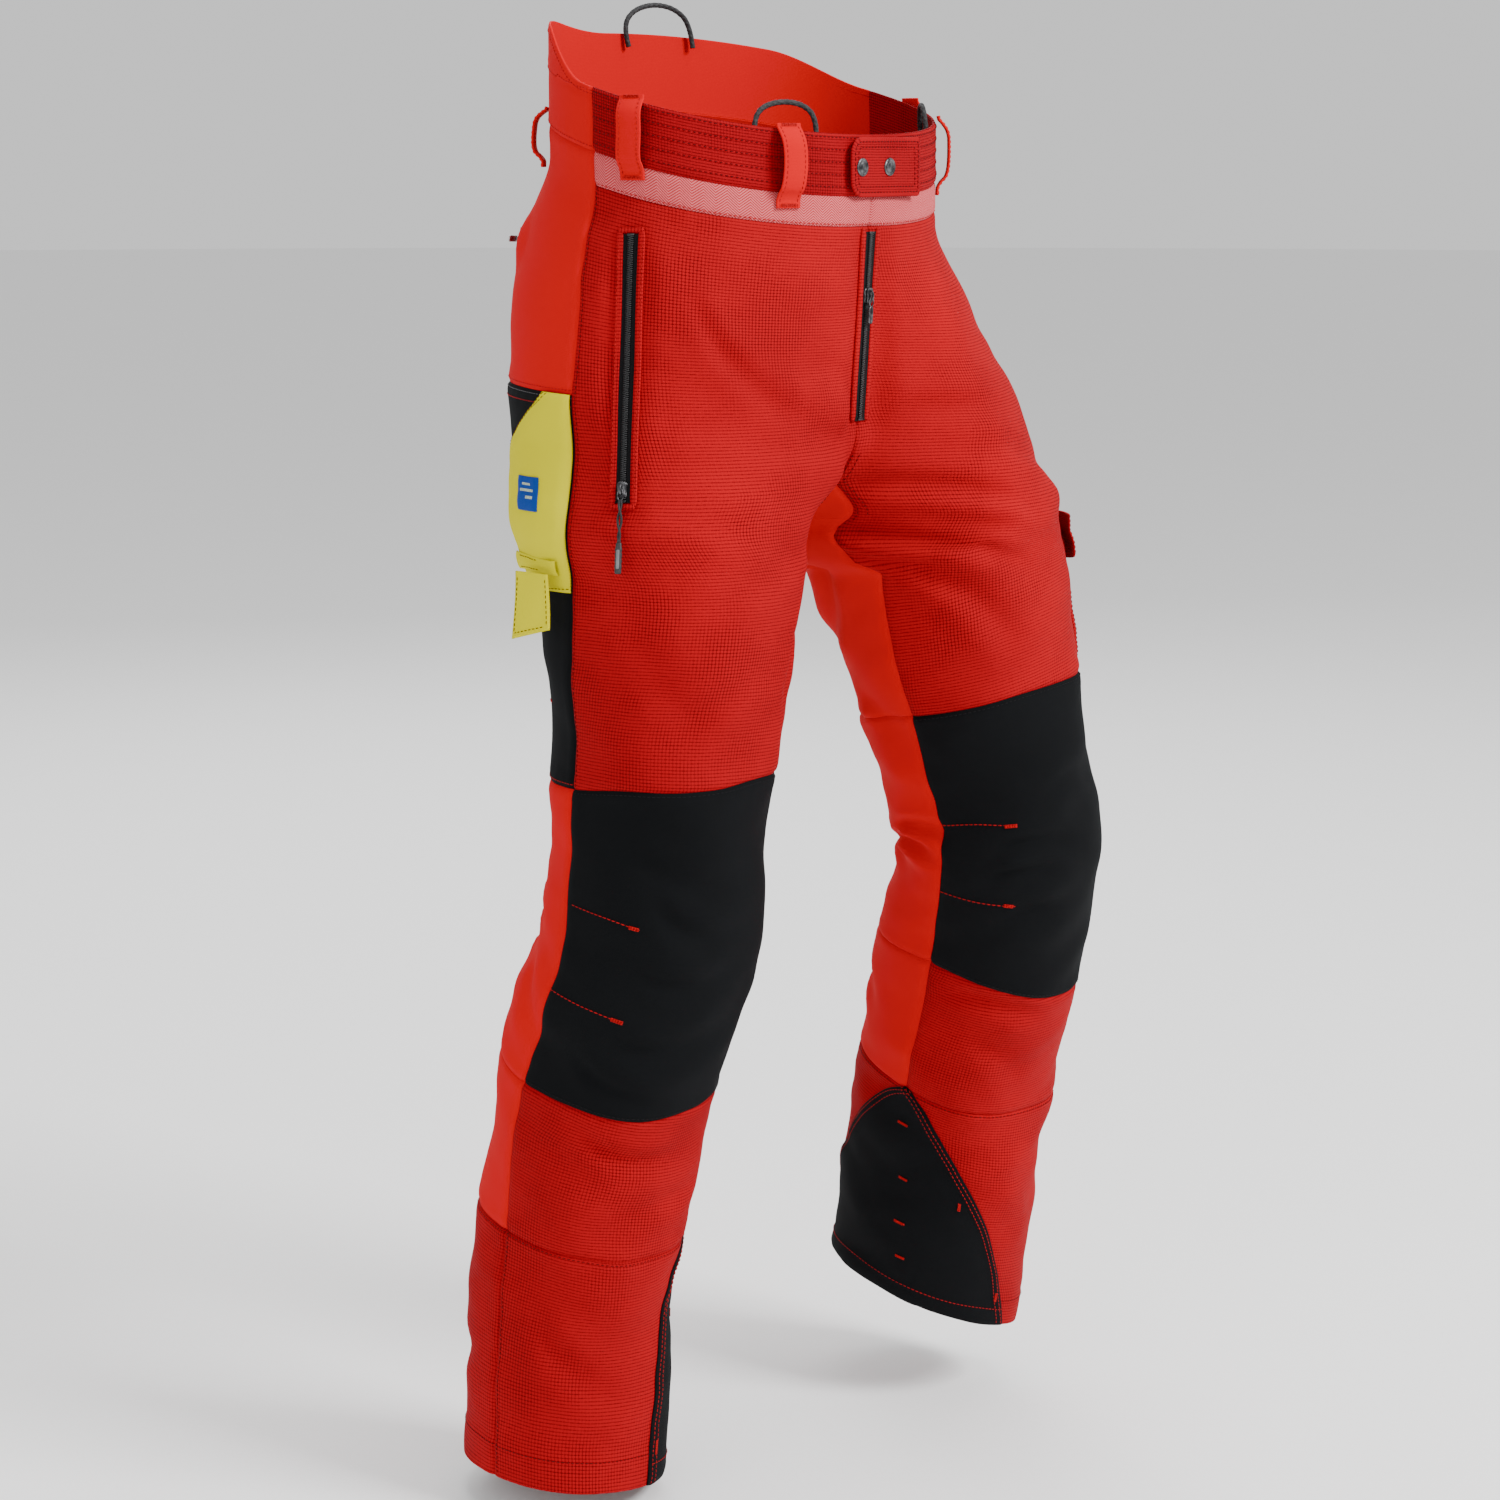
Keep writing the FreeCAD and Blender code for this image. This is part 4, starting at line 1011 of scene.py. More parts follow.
@dataclass
class Panel:
    """A sewn panel: a closed cloth shell between two rows and two edges of the surface.

    The edges turn down into their seams, swell beside them and pucker slightly.
    """

    name: str
    side: Side | None
    top: float
    bottom: float
    left: Edge | float
    right: Edge | float
    cloth: Finish
    ride: Ride
    nodes: tuple[str, ...] = ()
    lift: float = 0.0
    thick: float = FABRIC
    step: float = 4.6
    upper: Edge | None = None
    lower: Edge | None = None
    seams: tuple[bool, bool, bool, bool] = (True, True, True, True)
    dip: float = 1.15
    crown: Callable[[Array, Array, Array, Array], Array] | None = None
    held: str | None = "stretched"
    hem: float = 0.0

    def rows(self) -> Array:
        """Stations from top to bottom: close at seams and near the crotch, else even."""
        near = np.array([0, 0.8, 1.8, 3.2, 5.2, 8.0])
        count = max(int((self.bottom - self.top - 16) / self.step), 2)
        middle = np.linspace(self.top + 8, self.bottom - 8, count)
        parts = [self.top + near, middle, self.bottom - near]
        if self.top < CROTCH < self.bottom:
            fan = 0.4 * np.arange(8) ** 2
            parts += [CROTCH - fan, CROTCH + fan]
        rows = np.unique(np.round(np.concatenate(parts), 3))
        return rows[(rows >= self.top) & (rows <= self.bottom)]

    def grid(self) -> tuple[Array, Array, list[Array]]:
        """Places of the panel's corners and their distances from its four edges.

        Returns:
            s, t, and the distances from the left, right, top and bottom edges.
        """
        rows = self.rows()[:, None]
        edge = [np.broadcast_to(e(rows) if callable(e) else e, rows.shape) for e in (self.left, self.right)]
        half_width = smooth_rows(GIRTH, rows)[1]
        wide = np.maximum(np.abs(edge[1] - edge[0]), 0.05) * half_width * math.pi / 180 * 1.05
        margin = np.minimum(8.0, wide / 4)
        near = np.array([0, 0.8, 1.8, 3.2, 5.2])[None, :] * margin / 8
        count = max(int(wide.max() / self.step), 4)
        inside = margin + (wide - 2 * margin) * np.linspace(0, 1, count)[None, :]
        place = np.concatenate([near, inside, (wide - near)[:, ::-1]], axis=1)
        share = place / wide
        t = edge[0] + (edge[1] - edge[0]) * share
        s = np.broadcast_to(rows, t.shape).copy()
        reach = min(80.0, 0.5 * (self.bottom - self.top))
        high = self.upper(t) if self.upper else np.full_like(t, self.top)
        low = self.lower(t) if self.lower else np.full_like(t, self.bottom)
        s = s + (high - self.top) * (1 - ease((rows - self.top) / reach))
        s = s + (low - self.bottom) * (1 - ease((self.bottom - rows) / reach))
        return s, t, [place, wide - place, s - high, low - s]

    def relief(self, away: list[Array], s: Array) -> Array:
        """The turned-down seams: a dip at the edge, a swelling 6 mm in, and small puckers."""
        height = np.zeros_like(s)
        for k, sewn in enumerate(self.seams):
            if sewn:
                d = away[k]
                height -= self.dip * np.exp(-((d / 1.7) ** 2))
                height += 0.45 * np.exp(-(((d - 6.5) / 3.6) ** 2))
                run = s if k < 2 else away[0]
                height += 0.22 * np.sin(run * 0.47 + 2 * np.sin(run * 0.061)) * np.exp(-d / 9) * ease(d / 2)
        if self.hem:
            height += 0.7 * (1 - ease((away[3] - self.hem) / 1.6))
        return height

    def sample(self, s: Array, t: Array, lift: Array) -> Array:
        """Points of the cloth at a height, on the panel's own side or round the waist."""
        return (GARMENT.sample(self.side, s, t, lift) if self.side else GARMENT.around(s, t, lift))[0]

    def add_to(self, bag: MeshBag) -> tuple[float, float, float]:
        """Adds the panel to a bag.

        Returns:
            Its width, length and area, in metres and square metres.
        """
        s, t, away = self.grid()
        relief = self.relief(away, s)
        crown = self.crown(*away) if self.crown else 0.0
        outer = self.sample(s, t, self.lift + relief + crown)
        inner = self.sample(s, t, self.lift - self.thick + (relief if self.crown is None else 0.0))
        across = np.linalg.norm(np.diff(outer, axis=1), axis=-1)
        run = np.concatenate([np.zeros((len(s), 1)), np.cumsum(across, axis=1)], axis=1)
        run = run - run[:, [run.shape[1] // 2]]
        uv = np.stack([run, -s], axis=-1)
        bag.add(*shell(outer, inner, uv))
        down = np.linalg.norm(np.diff(outer, axis=0), axis=-1)
        area = float((0.5 * (across[1:] + across[:-1]) * 0.5 * (down[:, 1:] + down[:, :-1])).sum())
        return across.sum(1).max() / 1000, down.sum(0).max() / 1000, area / 1e6

    def make(self) -> bpy.types.Object:
        """Makes the panel's piece, puts it on its ride and logs its width and length."""
        bag = MeshBag()
        width, length, area = self.add_to(bag)
        piece = bag.make(self.name, self.cloth)
        if self.nodes:
            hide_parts(*self.nodes)
        self.ride.apply(piece)
        LOG.info("%s: %.3f by %.3f m", self.name, width, length)
        return piece

    def sew_edge(self, box: SewingBox, thread: Finish, edge: int, inset: float,
                 start: float = 0.0, stop: float = 1.0, **sizes: float) -> None:
        """Sews a row of stitches beside an edge: 0 left, 1 right, 2 top or 3 bottom."""
        s, t, away = self.grid()
        height = self.lift + self.relief(away, s) + (self.crown(*away) if self.crown else 0.0)
        if edge > 1:
            s, t, height = s.T, t.T, height.T
            away = [a.T for a in away]
        pick = np.abs(away[edge] - inset).argmin(axis=1)
        rows = np.arange(len(pick))
        beside = np.clip(pick + np.where(away[edge][rows, pick] < inset, 1, -1), 0, s.shape[1] - 1)
        d0, d1 = away[edge][rows, pick], away[edge][rows, beside]
        f = np.where(np.abs(d1 - d0) > 1e-6, (inset - d0) / np.where(np.abs(d1 - d0) > 1e-6, d1 - d0, 1), 0)
        f = np.clip(f, 0, 1)
        s, t, height = (v[rows, pick] * (1 - f) + v[rows, beside] * f for v in (s, t, height))
        keep = slice(int(start * len(s)), max(int(stop * len(s)), int(start * len(s)) + 2))
        where = (s[keep], t[keep], height[keep] + 0.12)
        point, normal = (GARMENT.sample(self.side, *where) if self.side else GARMENT.around(*where))
        box.sew(self.ride, thread, point, normal, **sizes)


GARMENT = Garment()


def knee_edge(table: dict[Side, Array], side: Side) -> Edge:
    """The s of a knee panel's upper or lower edge at any angle."""
    return lambda t: smooth_rows(table[side], turned(t))[0]


def sew_line(box: SewingBox, ride: Ride, thread: Finish, side: Side, places: list[tuple[float, float]],
             lift: float = 0.3, count: int = 40, **sizes: float) -> None:
    """Sews a row along a smooth line through places (s, t) on the cloth."""
    rows = np.array([(k, *p) for k, p in enumerate(places)], float)
    s, t = smooth_rows(rows, np.linspace(0, len(places) - 1, count))
    box.sew(ride, thread, *GARMENT.sample(side, s, t, lift), **sizes)


def bar_tack(box: SewingBox, ride: Ride, thread: Finish, side: Side, s: float, t: float,
             across: float = 8.0, lift: float = 0.5, upright: bool = False) -> None:
    """A dense short bar of thread: four close rows of stitches."""
    radius = float(smooth_rows(GIRTH, np.array(s))[1]) * math.pi / 180
    for k in (-0.8, -0.27, 0.27, 0.8):
        if upright:
            places = [(s - across / 2, t + k / radius), (s + across / 2, t + k / radius)]
        else:
            places = [(s + k, t - across / 2 / radius), (s + k, t + across / 2 / radius)]
        sew_line(box, ride, thread, side, places, lift, 8, length=2.2, gap=-0.5, radius=0.42)


class Legs:
    """Both legs' panels, from the waist seam to the hem."""

    def __init__(self, box: SewingBox) -> None:
        """Legs sewn with a box's thread."""
        self.box = box

    def build(self) -> None:
        """Makes every panel of both sides."""
        for side in Side:
            self.thigh(side)
            self.knee(side)
            self.shin(side)
            self.kick_patch(side)

    def rise(self, side: Side) -> float:
        """How much higher the left knee's panels sit."""
        return LEFT_KNEE_RISE if side is Side.LEFT else 0.0

    def thigh(self, side: Side) -> None:
        """Front, hip, back thigh and side panels."""
        name, box = side.word, self.box
        bottom = KNEE_TOP - self.rise(side)
        upper = knee_edge(KNEE_UPPER, side)
        front = Panel(f"{name}_front", side, YOKE_BOTTOM, bottom, front_edge, side_seam, RIPSTOP,
                      TRUNK, (f"{name}_front_panel",), lower=upper, step=4.2)
        front.make()
        hip = Panel(f"{name}_hip", side, WAIST_BOTTOM, HIP_JOIN, side_seam, back_edge, STRETCH, TRUNK,
                    (f"{name}_hip_panel",), step=4.8)
        hip.make()
        side_panel = Panel(f"{name}_side", side, HIP_JOIN, bottom, side_seam, SIDE_PANEL_EDGE, BLACK,
                           TRUNK, (f"{name}_side_panel",), lower=upper)
        side_panel.make()
        self.back_thigh(side, bottom, upper)
        front.sew_edge(box, DARK_THREAD, 1, 2.6)
        front.sew_edge(box, DARK_THREAD, 0, 2.6, 0.42, 0.62)
        front.sew_edge(box, DARK_THREAD, 0, 8.0, 0.42, 0.56)
        hip.sew_edge(box, RED_THREAD, 3, 3.0)
        side_panel.sew_edge(box, GREY_THREAD, 2, 2.6)
        side_panel.sew_edge(box, RED_THREAD, 2, 8.5)
        side_panel.sew_edge(box, RED_THREAD, 1, 2.6)
        side_panel.sew_edge(box, RED_THREAD, 1, 8.0)
        side_panel.sew_edge(box, RED_THREAD, 3, 3.0)
        bar_tack(box, TRUNK, RED_THREAD, side, 428, 42, 9, 0.4)
        bar_tack(box, TRUNK, RED_THREAD, side, 428, 66, 9, 0.4)

    def back_thigh(self, side: Side, bottom: float, upper: Edge) -> None:
        """The stretch back of the thigh, whose point runs forward under the crotch."""
        bag = MeshBag()
        parts = (
            Panel("", side, HIP_JOIN, CROTCH, SIDE_PANEL_EDGE, half_turn, STRETCH, TRUNK,
                  seams=(True, True, True, False)),
            Panel("", side, CROTCH, bottom, SIDE_PANEL_EDGE, lambda s: 360 + inner_seam(s), STRETCH,
                  TRUNK, lower=upper, seams=(True, True, False, True)),
            Panel("", side, self.point(), CROTCH, lambda s: -half_turn(s), front_edge, STRETCH, TRUNK,
                  seams=(False, True, False, False), step=2.5),
        )
        sizes = [part.add_to(bag) for part in parts]
        piece = bag.make(f"{side.word}_back_thigh", STRETCH)
        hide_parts(f"{side.word}_back_thigh_panel")
        TRUNK.apply(piece)

    @staticmethod
    def point() -> float:
        """The s at which the inner leg seam leaves the middle of the body."""
        s = np.linspace(CROTCH - 40, CROTCH, 401)
        return float(s[np.argmax(inner_seam(s) > -half_turn(s) + 0.02)])

    def knee(self, side: Side) -> None:
        """The black knee panel with its darts, and the stretch panel behind."""
        name, box, ride = side.word, self.box, KNEE[side]
        rise = self.rise(side)
        top, bottom = KNEE_TOP - rise, KNEE_BOTTOM - rise
        upper, lower = knee_edge(KNEE_UPPER, side), knee_edge(KNEE_LOWER, side)
        pads = self.darts(side)
        front = Panel(f"{name}_knee_front", side, top, bottom, front_edge, side_seam, BLACK, ride,
                      (f"{name}_knee_panel",), lift=0.35, upper=upper, lower=lower, step=4.0)
        front.make()
        back = Panel(f"{name}_knee_back", side, top, bottom, side_seam, back_edge, STRETCH, ride,
                     (f"{name}_knee_back_panel",), upper=upper, lower=lower, step=4.0)
        back.make()
        for edge in (2, 3):
            front.sew_edge(box, BLACK_THREAD, edge, 2.6)
        for places in pads:
            sew_line(box, ride, RED_THREAD, side, places, 0.75, length=3.2, gap=0.9, radius=0.42)
            (s0, t0), (s1, t1) = places[0], places[-1]
            share = 0.18
            end = (s1 + (s0 - s1) * share, t1 + (t0 - t1) * share)
            for shift in (-0.9, 0.0, 0.9):
                sew_line(box, ride, RED_THREAD, side, [(end[0] + shift, end[1]), (s1 + shift, t1)], 0.8, 6,
                         length=2.4, gap=-0.4, radius=0.5)

    @staticmethod
    def darts(side: Side) -> list[list[tuple[float, float]]]:
        """The lines of the four knee darts as places on the cloth."""
        if side is Side.RIGHT:
            return [[(580, 9), (581, -12), (584, -32)], [(650, 10), (650, -12), (651, -33)],
                    [(574, -178), (575, -156), (578, -134)], [(642, -178), (644, -156), (646, -135)]]
        return [[(554, -178), (552, -156), (554, -133)], [(614, -179), (618, -156), (620, -135)],
                [(552, 12), (553, -10), (556, -32)], [(622, 11), (622, -10), (623, -33)]]

    def shin(self, side: Side) -> None:
        """Shin front in two joined parts, the stretch calf and the strong lower calf."""
        name, box, ride = side.word, self.box, SHIN[side]
        rise = self.rise(side)
        top, join = KNEE_BOTTOM - rise, CALF_JOIN - rise
        lower = knee_edge(KNEE_LOWER, side)
        bag = MeshBag()
        high = Panel("", side, top, join, front_edge, side_seam, RIPSTOP, ride, upper=lower)
        low = Panel("", side, join, HEM, front_edge, side_seam, RIPSTOP, ride,
                    seams=(True, True, True, False), hem=24.0)
        sizes = [part.add_to(bag) for part in (high, low)]
        piece = bag.make(f"{name}_shin_front", RIPSTOP)
        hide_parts(f"{name}_shin_front_panel")
        ride.apply(piece)
        calf = Panel(f"{name}_calf", side, top, join, side_seam, back_edge, STRETCH, ride,
                     (f"{name}_calf_panel",), upper=lower)
        calf.make()
        lower_calf = Panel(f"{name}_lower_calf", side, join, HEM, side_seam, back_edge, RIPSTOP, ride,
                           (f"{name}_lower_calf_panel",), seams=(True, True, True, False), hem=24.0)
        lower_calf.make()
        for part in (low, lower_calf):
            part.sew_edge(box, DARK_THREAD, 3, 22.0)
        low.sew_edge(box, DARK_THREAD, 2, 2.4)
        low.sew_edge(box, DARK_THREAD, 1, 2.6)
        lower_calf.sew_edge(box, DARK_THREAD, 2, 2.4)

    @staticmethod
    def arch(side: Side) -> tuple[Array, Array]:
        """The kick patch's half widths in degrees, forward and back, against its depth."""
        forward = {
            Side.RIGHT: [(0, 1.5), (14, 22), (34, 46), (66, 70), (120, 77), (214, 80)],
            Side.LEFT: [(0, 1.5), (14, 12), (46, 29), (90, 53), (138, 74), (198, 91), (214, 93)],
        }[side]
        backward = [(0, 1.5), (14, 12), (46, 27), (94, 47), (140, 70), (214, 92)]
        return np.array(forward, float), np.array(backward, float)

    def kick_patch(self, side: Side) -> None:
        """The pointed boot-guard patch inside the hem."""
        name, box, ride = side.word, self.box, SHIN[side]
        height = 212.0
        top = HEM - height
        forward, backward = self.arch(side)

        def ahead(s: Array) -> Array:
            """The patch's forward edge, as an angle at each height."""
            return 181 - smooth_rows(forward, np.asarray(s) - top)[0]

        def behind(s: Array) -> Array:
            """The patch's rear edge, as an angle at each height."""
            return 181 + smooth_rows(backward, np.asarray(s) - top)[0]

        edges = (lambda s: 362 - ahead(s), lambda s: 362 - behind(s))
        patch = Panel(f"{name}_boot_guard", side, top, HEM + 0.8, edges[1], edges[0], BLACK, ride,
                      (f"{name}_kick_patch",), lift=1.9, step=4.0, dip=0.8, hem=18.0)
        patch.make()
        for edge in (0, 1):
            for inset in (2.6, 7.4):
                patch.sew_edge(box, RED_THREAD, edge, inset, radius=0.36)
        patch.sew_edge(box, RED_THREAD, 3, 18.0, radius=0.36)
        tacks = [(856, 183), (912, 187), (954, 190), (988, 194)]
        for s, t in tacks:
            bar_tack(box, ride, RED_THREAD, side, s, t, 9, 2.4)
        bar_tack(box, ride, RED_THREAD, side, 918, 181 + 44, 9, 2.4, upright=True)
        bar_tack(box, ride, RED_THREAD, side, 1004, 181 + (84 if side is Side.LEFT else 74), 11, 2.4,
                 upright=True)


class Waist:
    """Waistband, yoke strips, raised back, belt loops, brace loops and the closing tab."""

    # side, angle, middle below the waist line, and length
    LOOPS = ((Side.RIGHT, -12, 0, 60), (Side.LEFT, -12, 0, 60), (Side.RIGHT, -62, 0, 60),
             (Side.LEFT, -42, 0, 60), (Side.RIGHT, 46, 30, 44), (Side.LEFT, 46, 30, 44),
             (Side.RIGHT, 90, 0, 60))

    def __init__(self, box: SewingBox) -> None:
        """A waist sewn with a box's thread."""
        self.box = box

    def build(self) -> None:
        """Makes all of it."""
        self.bands()
        self.yoke()
        self.raised_back()
        self.belt_loops()
        self.brace_loops()
        self.tab()

    def bands(self) -> None:
        """The two front waistbands with their rows of stitching."""
        for side in Side:
            band = Panel(f"{side.word}_waistband", side, WAIST_TOP, WAIST_BOTTOM, front_edge, side_seam,
                         BAND, TRUNK, (f"waistband_{side.word}",), lift=0.7, thick=3.0, step=4.0,
                         seams=(False, True, False, True), dip=1.4,
                         crown=lambda l, r, u, d: -1.0 * np.exp(-((u / 1.3) ** 2)))
            band.make()
            for inset in (3.0, 12.0, 21.0, 30.0, 39.0):
                band.sew_edge(self.box, DARK_THREAD, 2, inset, length=2.4, gap=1.5, radius=0.36)

    def yoke(self) -> None:
        """The pink herringbone strips under the waistband."""
        bag = MeshBag()
        strips = [Panel("", side, WAIST_BOTTOM, YOKE_BOTTOM, front_edge, side_seam, TAPE_PINK, TRUNK,
                        lift=0.2, step=4.0) for side in Side]
        sizes = [strip.add_to(bag) for strip in strips]
        piece = bag.make("yoke", TAPE_PINK)
        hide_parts("yoke_strips")
        TRUNK.apply(piece)
        for strip in strips:
            strip.sew_edge(self.box, RED_THREAD, 3, 2.4)

    def raised_back(self) -> None:
        """The high back panel, with a sewn band round its foot."""
        seam = float(side_seam(np.array(0.0)))
        panel = Panel("raised_back", None, -56, WAIST_BOTTOM, seam, 180 - seam, STRETCH, TRUNK,
                      ("high_back_panel",), lift=0.5, thick=2.2, step=4.0,
                      upper=back_top, seams=(True, True, False, True),
                      crown=lambda l, r, u, d: -0.8 * np.exp(-((u / 1.5) ** 2))
                      - 0.9 * np.exp(-(((d - 40) / 1.5) ** 2)) + 0.5 * np.exp(-(((d - 46) / 4) ** 2)))
        panel.make()
        panel.sew_edge(self.box, RED_THREAD, 2, 5.0)
        panel.sew_edge(self.box, RED_THREAD, 3, 3.0)
        panel.sew_edge(self.box, RED_THREAD, 3, 43.0)

    def belt_loops(self) -> None:
        """Seven folded strap loops, each sewn down at both ends."""
        bag = MeshBag()
        profile = rounded_outline(20.0, 1.9, (0.85,) * 4, 4)
        route = np.array([(0.9, -27), (1.0, -22), (3.4, -17), (7.6, -12), (9.4, -4), (9.8, 6),
                          (9.6, 16), (8.4, 22), (4.6, 28), (1.6, 31.5), (1.1, 34)])
        knots = np.concatenate([np.arange(len(route))[:, None], route], axis=1)
        for side, t, middle, length in self.LOOPS:
            t = float(t)
            above, below = (GARMENT.cut(side, np.array(middle + d), np.array(t)) for d in (-26.0, 26.0))
            rise = unit(above - below)
            normal = GARMENT.sample(side, np.array(float(middle)), np.array(t))[1]
            outward = unit(normal - rise * float(normal @ rise))
            across = np.cross(rise, outward)
            out, up = smooth_rows(knots, np.linspace(0, len(route) - 1, 46))
            up = up * length / 60
            sway = 0.8 * np.sin(up / 9 + t)
            path = ((above + below) / 2 + outward * (out + 1.1)[:, None] + rise * up[:, None]
                    + across * sway[:, None])
            tangent = unit(np.gradient(path, axis=0))
            facing = np.cross(tangent, across)
            bag.add(*swept(path, across, facing, profile))
            front = facing * np.sign((facing * outward).sum(-1, keepdims=True).mean())
            for edge in (-7.4, 7.4):
                self.box.sew(TRUNK, RED_THREAD, path + across * edge + front * 1.0, front)
            for end in (2, -3):
                for k in (-0.7, 0.0, 0.7):
                    middle = path[end] + tangent[end] * k + front[end] * 1.1
                    bar = middle + across * np.linspace(-7, 7, 6)[:, None]
                    self.box.sew(TRUNK, RED_THREAD, bar, np.broadcast_to(front[end], bar.shape),
                                 length=2.2, gap=-0.4, radius=0.4)
        piece = bag.make("strap_loops", STRETCH)
        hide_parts("belt_loops")
        TRUNK.apply(piece)
        LOG.info("strap_loops: %d", len(self.LOOPS))

    def brace_loops(self) -> None:
        """The three braided cords that stand up for a pair of braces."""
        loops = (
            ("back_brace_loop", (31.925, 117.158, 65.881), (0.99114, -0.13280, 0), (0, 0.0995, 0.99504),
             113.0,
             ((-33, 0), (-37, 15), (-27, 28), (-5, 34), (18, 31), (33, 19), (34, 0))),
            ("right_brace_loop", (-79.354, -100.730, -4.190), (-0.93913, 0.34358, 0),
             (0.05098, 0.13931, 0.98894), 87.9,
             ((-28, 0), (-29, 14), (-20, 24), (-2, 27), (16, 23), (24, 13), (25, 0))),
            ("left_brace_loop", (127.071, -72.577, -2.870), (0.72347, 0.69035, 0),
             (-0.06188, 0.06485, 0.99598), 70.2,
             ((-20, 0), (-19, 13), (-9, 23), (7, 24), (18, 14), (21, 0))),
        )
        for node, base, along, rise, length, route in loops:
            base, along, rise = (np.array(v) for v in (base, along, rise))
            self.cord(node, [base + along * a + rise * b for a, b in route], length)

    def cord(self, node: str, route: list[Array], length: float) -> None:
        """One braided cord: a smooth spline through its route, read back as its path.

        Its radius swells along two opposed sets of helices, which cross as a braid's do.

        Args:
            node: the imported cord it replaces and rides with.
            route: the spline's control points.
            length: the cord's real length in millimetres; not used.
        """
        curve = bpy.data.curves.new(f"{node}_line", "CURVE")
        curve.dimensions = "3D"
        curve.resolution_u = 24
        spline = curve.splines.new("NURBS")
        spline.points.add(len(route) - 1)
        for point, place in zip(spline.points, route):
            point.co = (*(place * MILLIMETRE), 1.0)
        spline.order_u = 3
        spline.use_endpoint_u = True
        holder = bpy.data.objects.new(f"{node}_line", curve)
        mesh = bpy.data.meshes.new_from_object(holder)
        raw = np.empty(len(mesh.vertices) * 3)
        mesh.vertices.foreach_get("co", raw)
        line = raw.reshape(-1, 3)
        bpy.data.objects.remove(holder)
        bpy.data.meshes.remove(mesh)
        run = np.concatenate([[0], np.cumsum(np.linalg.norm(np.diff(line, axis=0), axis=1))])
        even = np.linspace(0, run[-1], 300)
        path = np.stack([np.interp(even, run, line[:, k]) for k in range(3)], axis=-1) / MILLIMETRE
        tangent = unit(np.gradient(path, axis=0))
        plane = unit(np.cross(path[1] - path[0], path[len(path) // 2] - path[0]))
        across = unit(np.cross(tangent, plane))
        up = np.cross(tangent, across)
        turn = np.linspace(0, 2 * math.pi, 24, endpoint=False)
        phase = even[:, None] / MILLIMETRE * 1.15
        weave = np.maximum(np.sin(4 * turn + phase), np.sin(4 * turn - phase))
        radius = 1.86 + 0.22 * weave
        points = (path[:, None] + radius[..., None] * (across[:, None] * np.cos(turn)[None, :, None]
                                                      + up[:, None] * np.sin(turn)[None, :, None]))
        caps = np.stack([np.arange(24)[::-1], np.arange(24) + 299 * 24])
        bag = MeshBag()
        uv = np.stack(np.broadcast_arrays(turn * 2.0, even[:, None] / MILLIMETRE), axis=-1)
        bag.add(points, [grid_faces(300, 24, closed=True), caps], uv)
        piece = bag.make(f"{node}_cord", CORD_CLOTH)
        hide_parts(node)
        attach(piece, node)
        LOG.info("%s: %.1f mm", node, run[-1] / MILLIMETRE)

    def tab(self) -> None:
        """The closing tab with its two snaps, and the studs behind them."""
        turn = math.radians(1.6)
        across = np.array([math.cos(turn), math.sin(turn), 0])
        up = np.array([0.0, 0, 1])
        outward = np.array([math.sin(turn), -math.cos(turn), 0])
        axes = np.stack([across, up, outward])
        origin = np.array([12, -120.7, -25.6])
        width, height = 86, 44
        outline = rounded_outline(width, height, (3, 13, 13, 3), 9)
        bag = MeshBag()
        heights = [(2.4, 2.2), (0.8, 2.4), (0, 3.2), (0, 4.0), (0.7, 4.7), (1.8, 4.95), (2.8, 5.0)]
        bag.add(*turned_plate(outline, heights, origin, axes))
        tab = bag.make("closing_tab", BAND)
        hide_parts("waist_tab")
        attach(tab, "waist_tab")
        ride = Ride("waist_tab")
        for inset in (3.4, 7.5):
            flat = rounded_outline(width - 2 * inset, height - 2 * inset, (2, 12 - inset, 12 - inset, 2), 9)
            loop = np.concatenate([flat, flat[:1]])
            path = origin + loop[:, :1] * across + loop[:, 1:] * up + 5.1 * outward
            self.box.sew(ride, DARK_THREAD, path, np.broadcast_to(outward, path.shape))
        caps, studs = MeshBag(), MeshBag()
        ring = np.linspace(0, 2 * math.pi, 28, endpoint=False)
        circle = np.stack([np.cos(ring), np.sin(ring)], axis=-1)
        for x in (-31.0, 3.0):
            middle = origin + across * x
            caps.add(*turned_plate(circle * 6.8, [(1.6, 4.7), (0.2, 4.9), (0, 5.5), (0.5, 6.1), (1.3, 6.3),
                                                  (1.9, 6.0), (2.6, 5.8), (3.2, 6.1), (4.4, 6.4)], middle,
                                                  axes))
            studs.add(*turned_plate(circle * 3.2, [(0, 0.2), (0, 0.5), (0.9, 0.7), (0.9, 1.3), (0.4, 1.5),
                                                   (0.6, 1.8), (1.4, 1.9)], middle, axes))
        for bag, name, node, body in ((caps, "snap_tops", "snap_caps", "waist_tab"),
                                      (studs, "snap_posts", "snap_studs", "trousers")):
            piece = bag.make(name, GUNMETAL if node == "snap_caps" else STEEL)
            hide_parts(node)
            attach(piece, body)


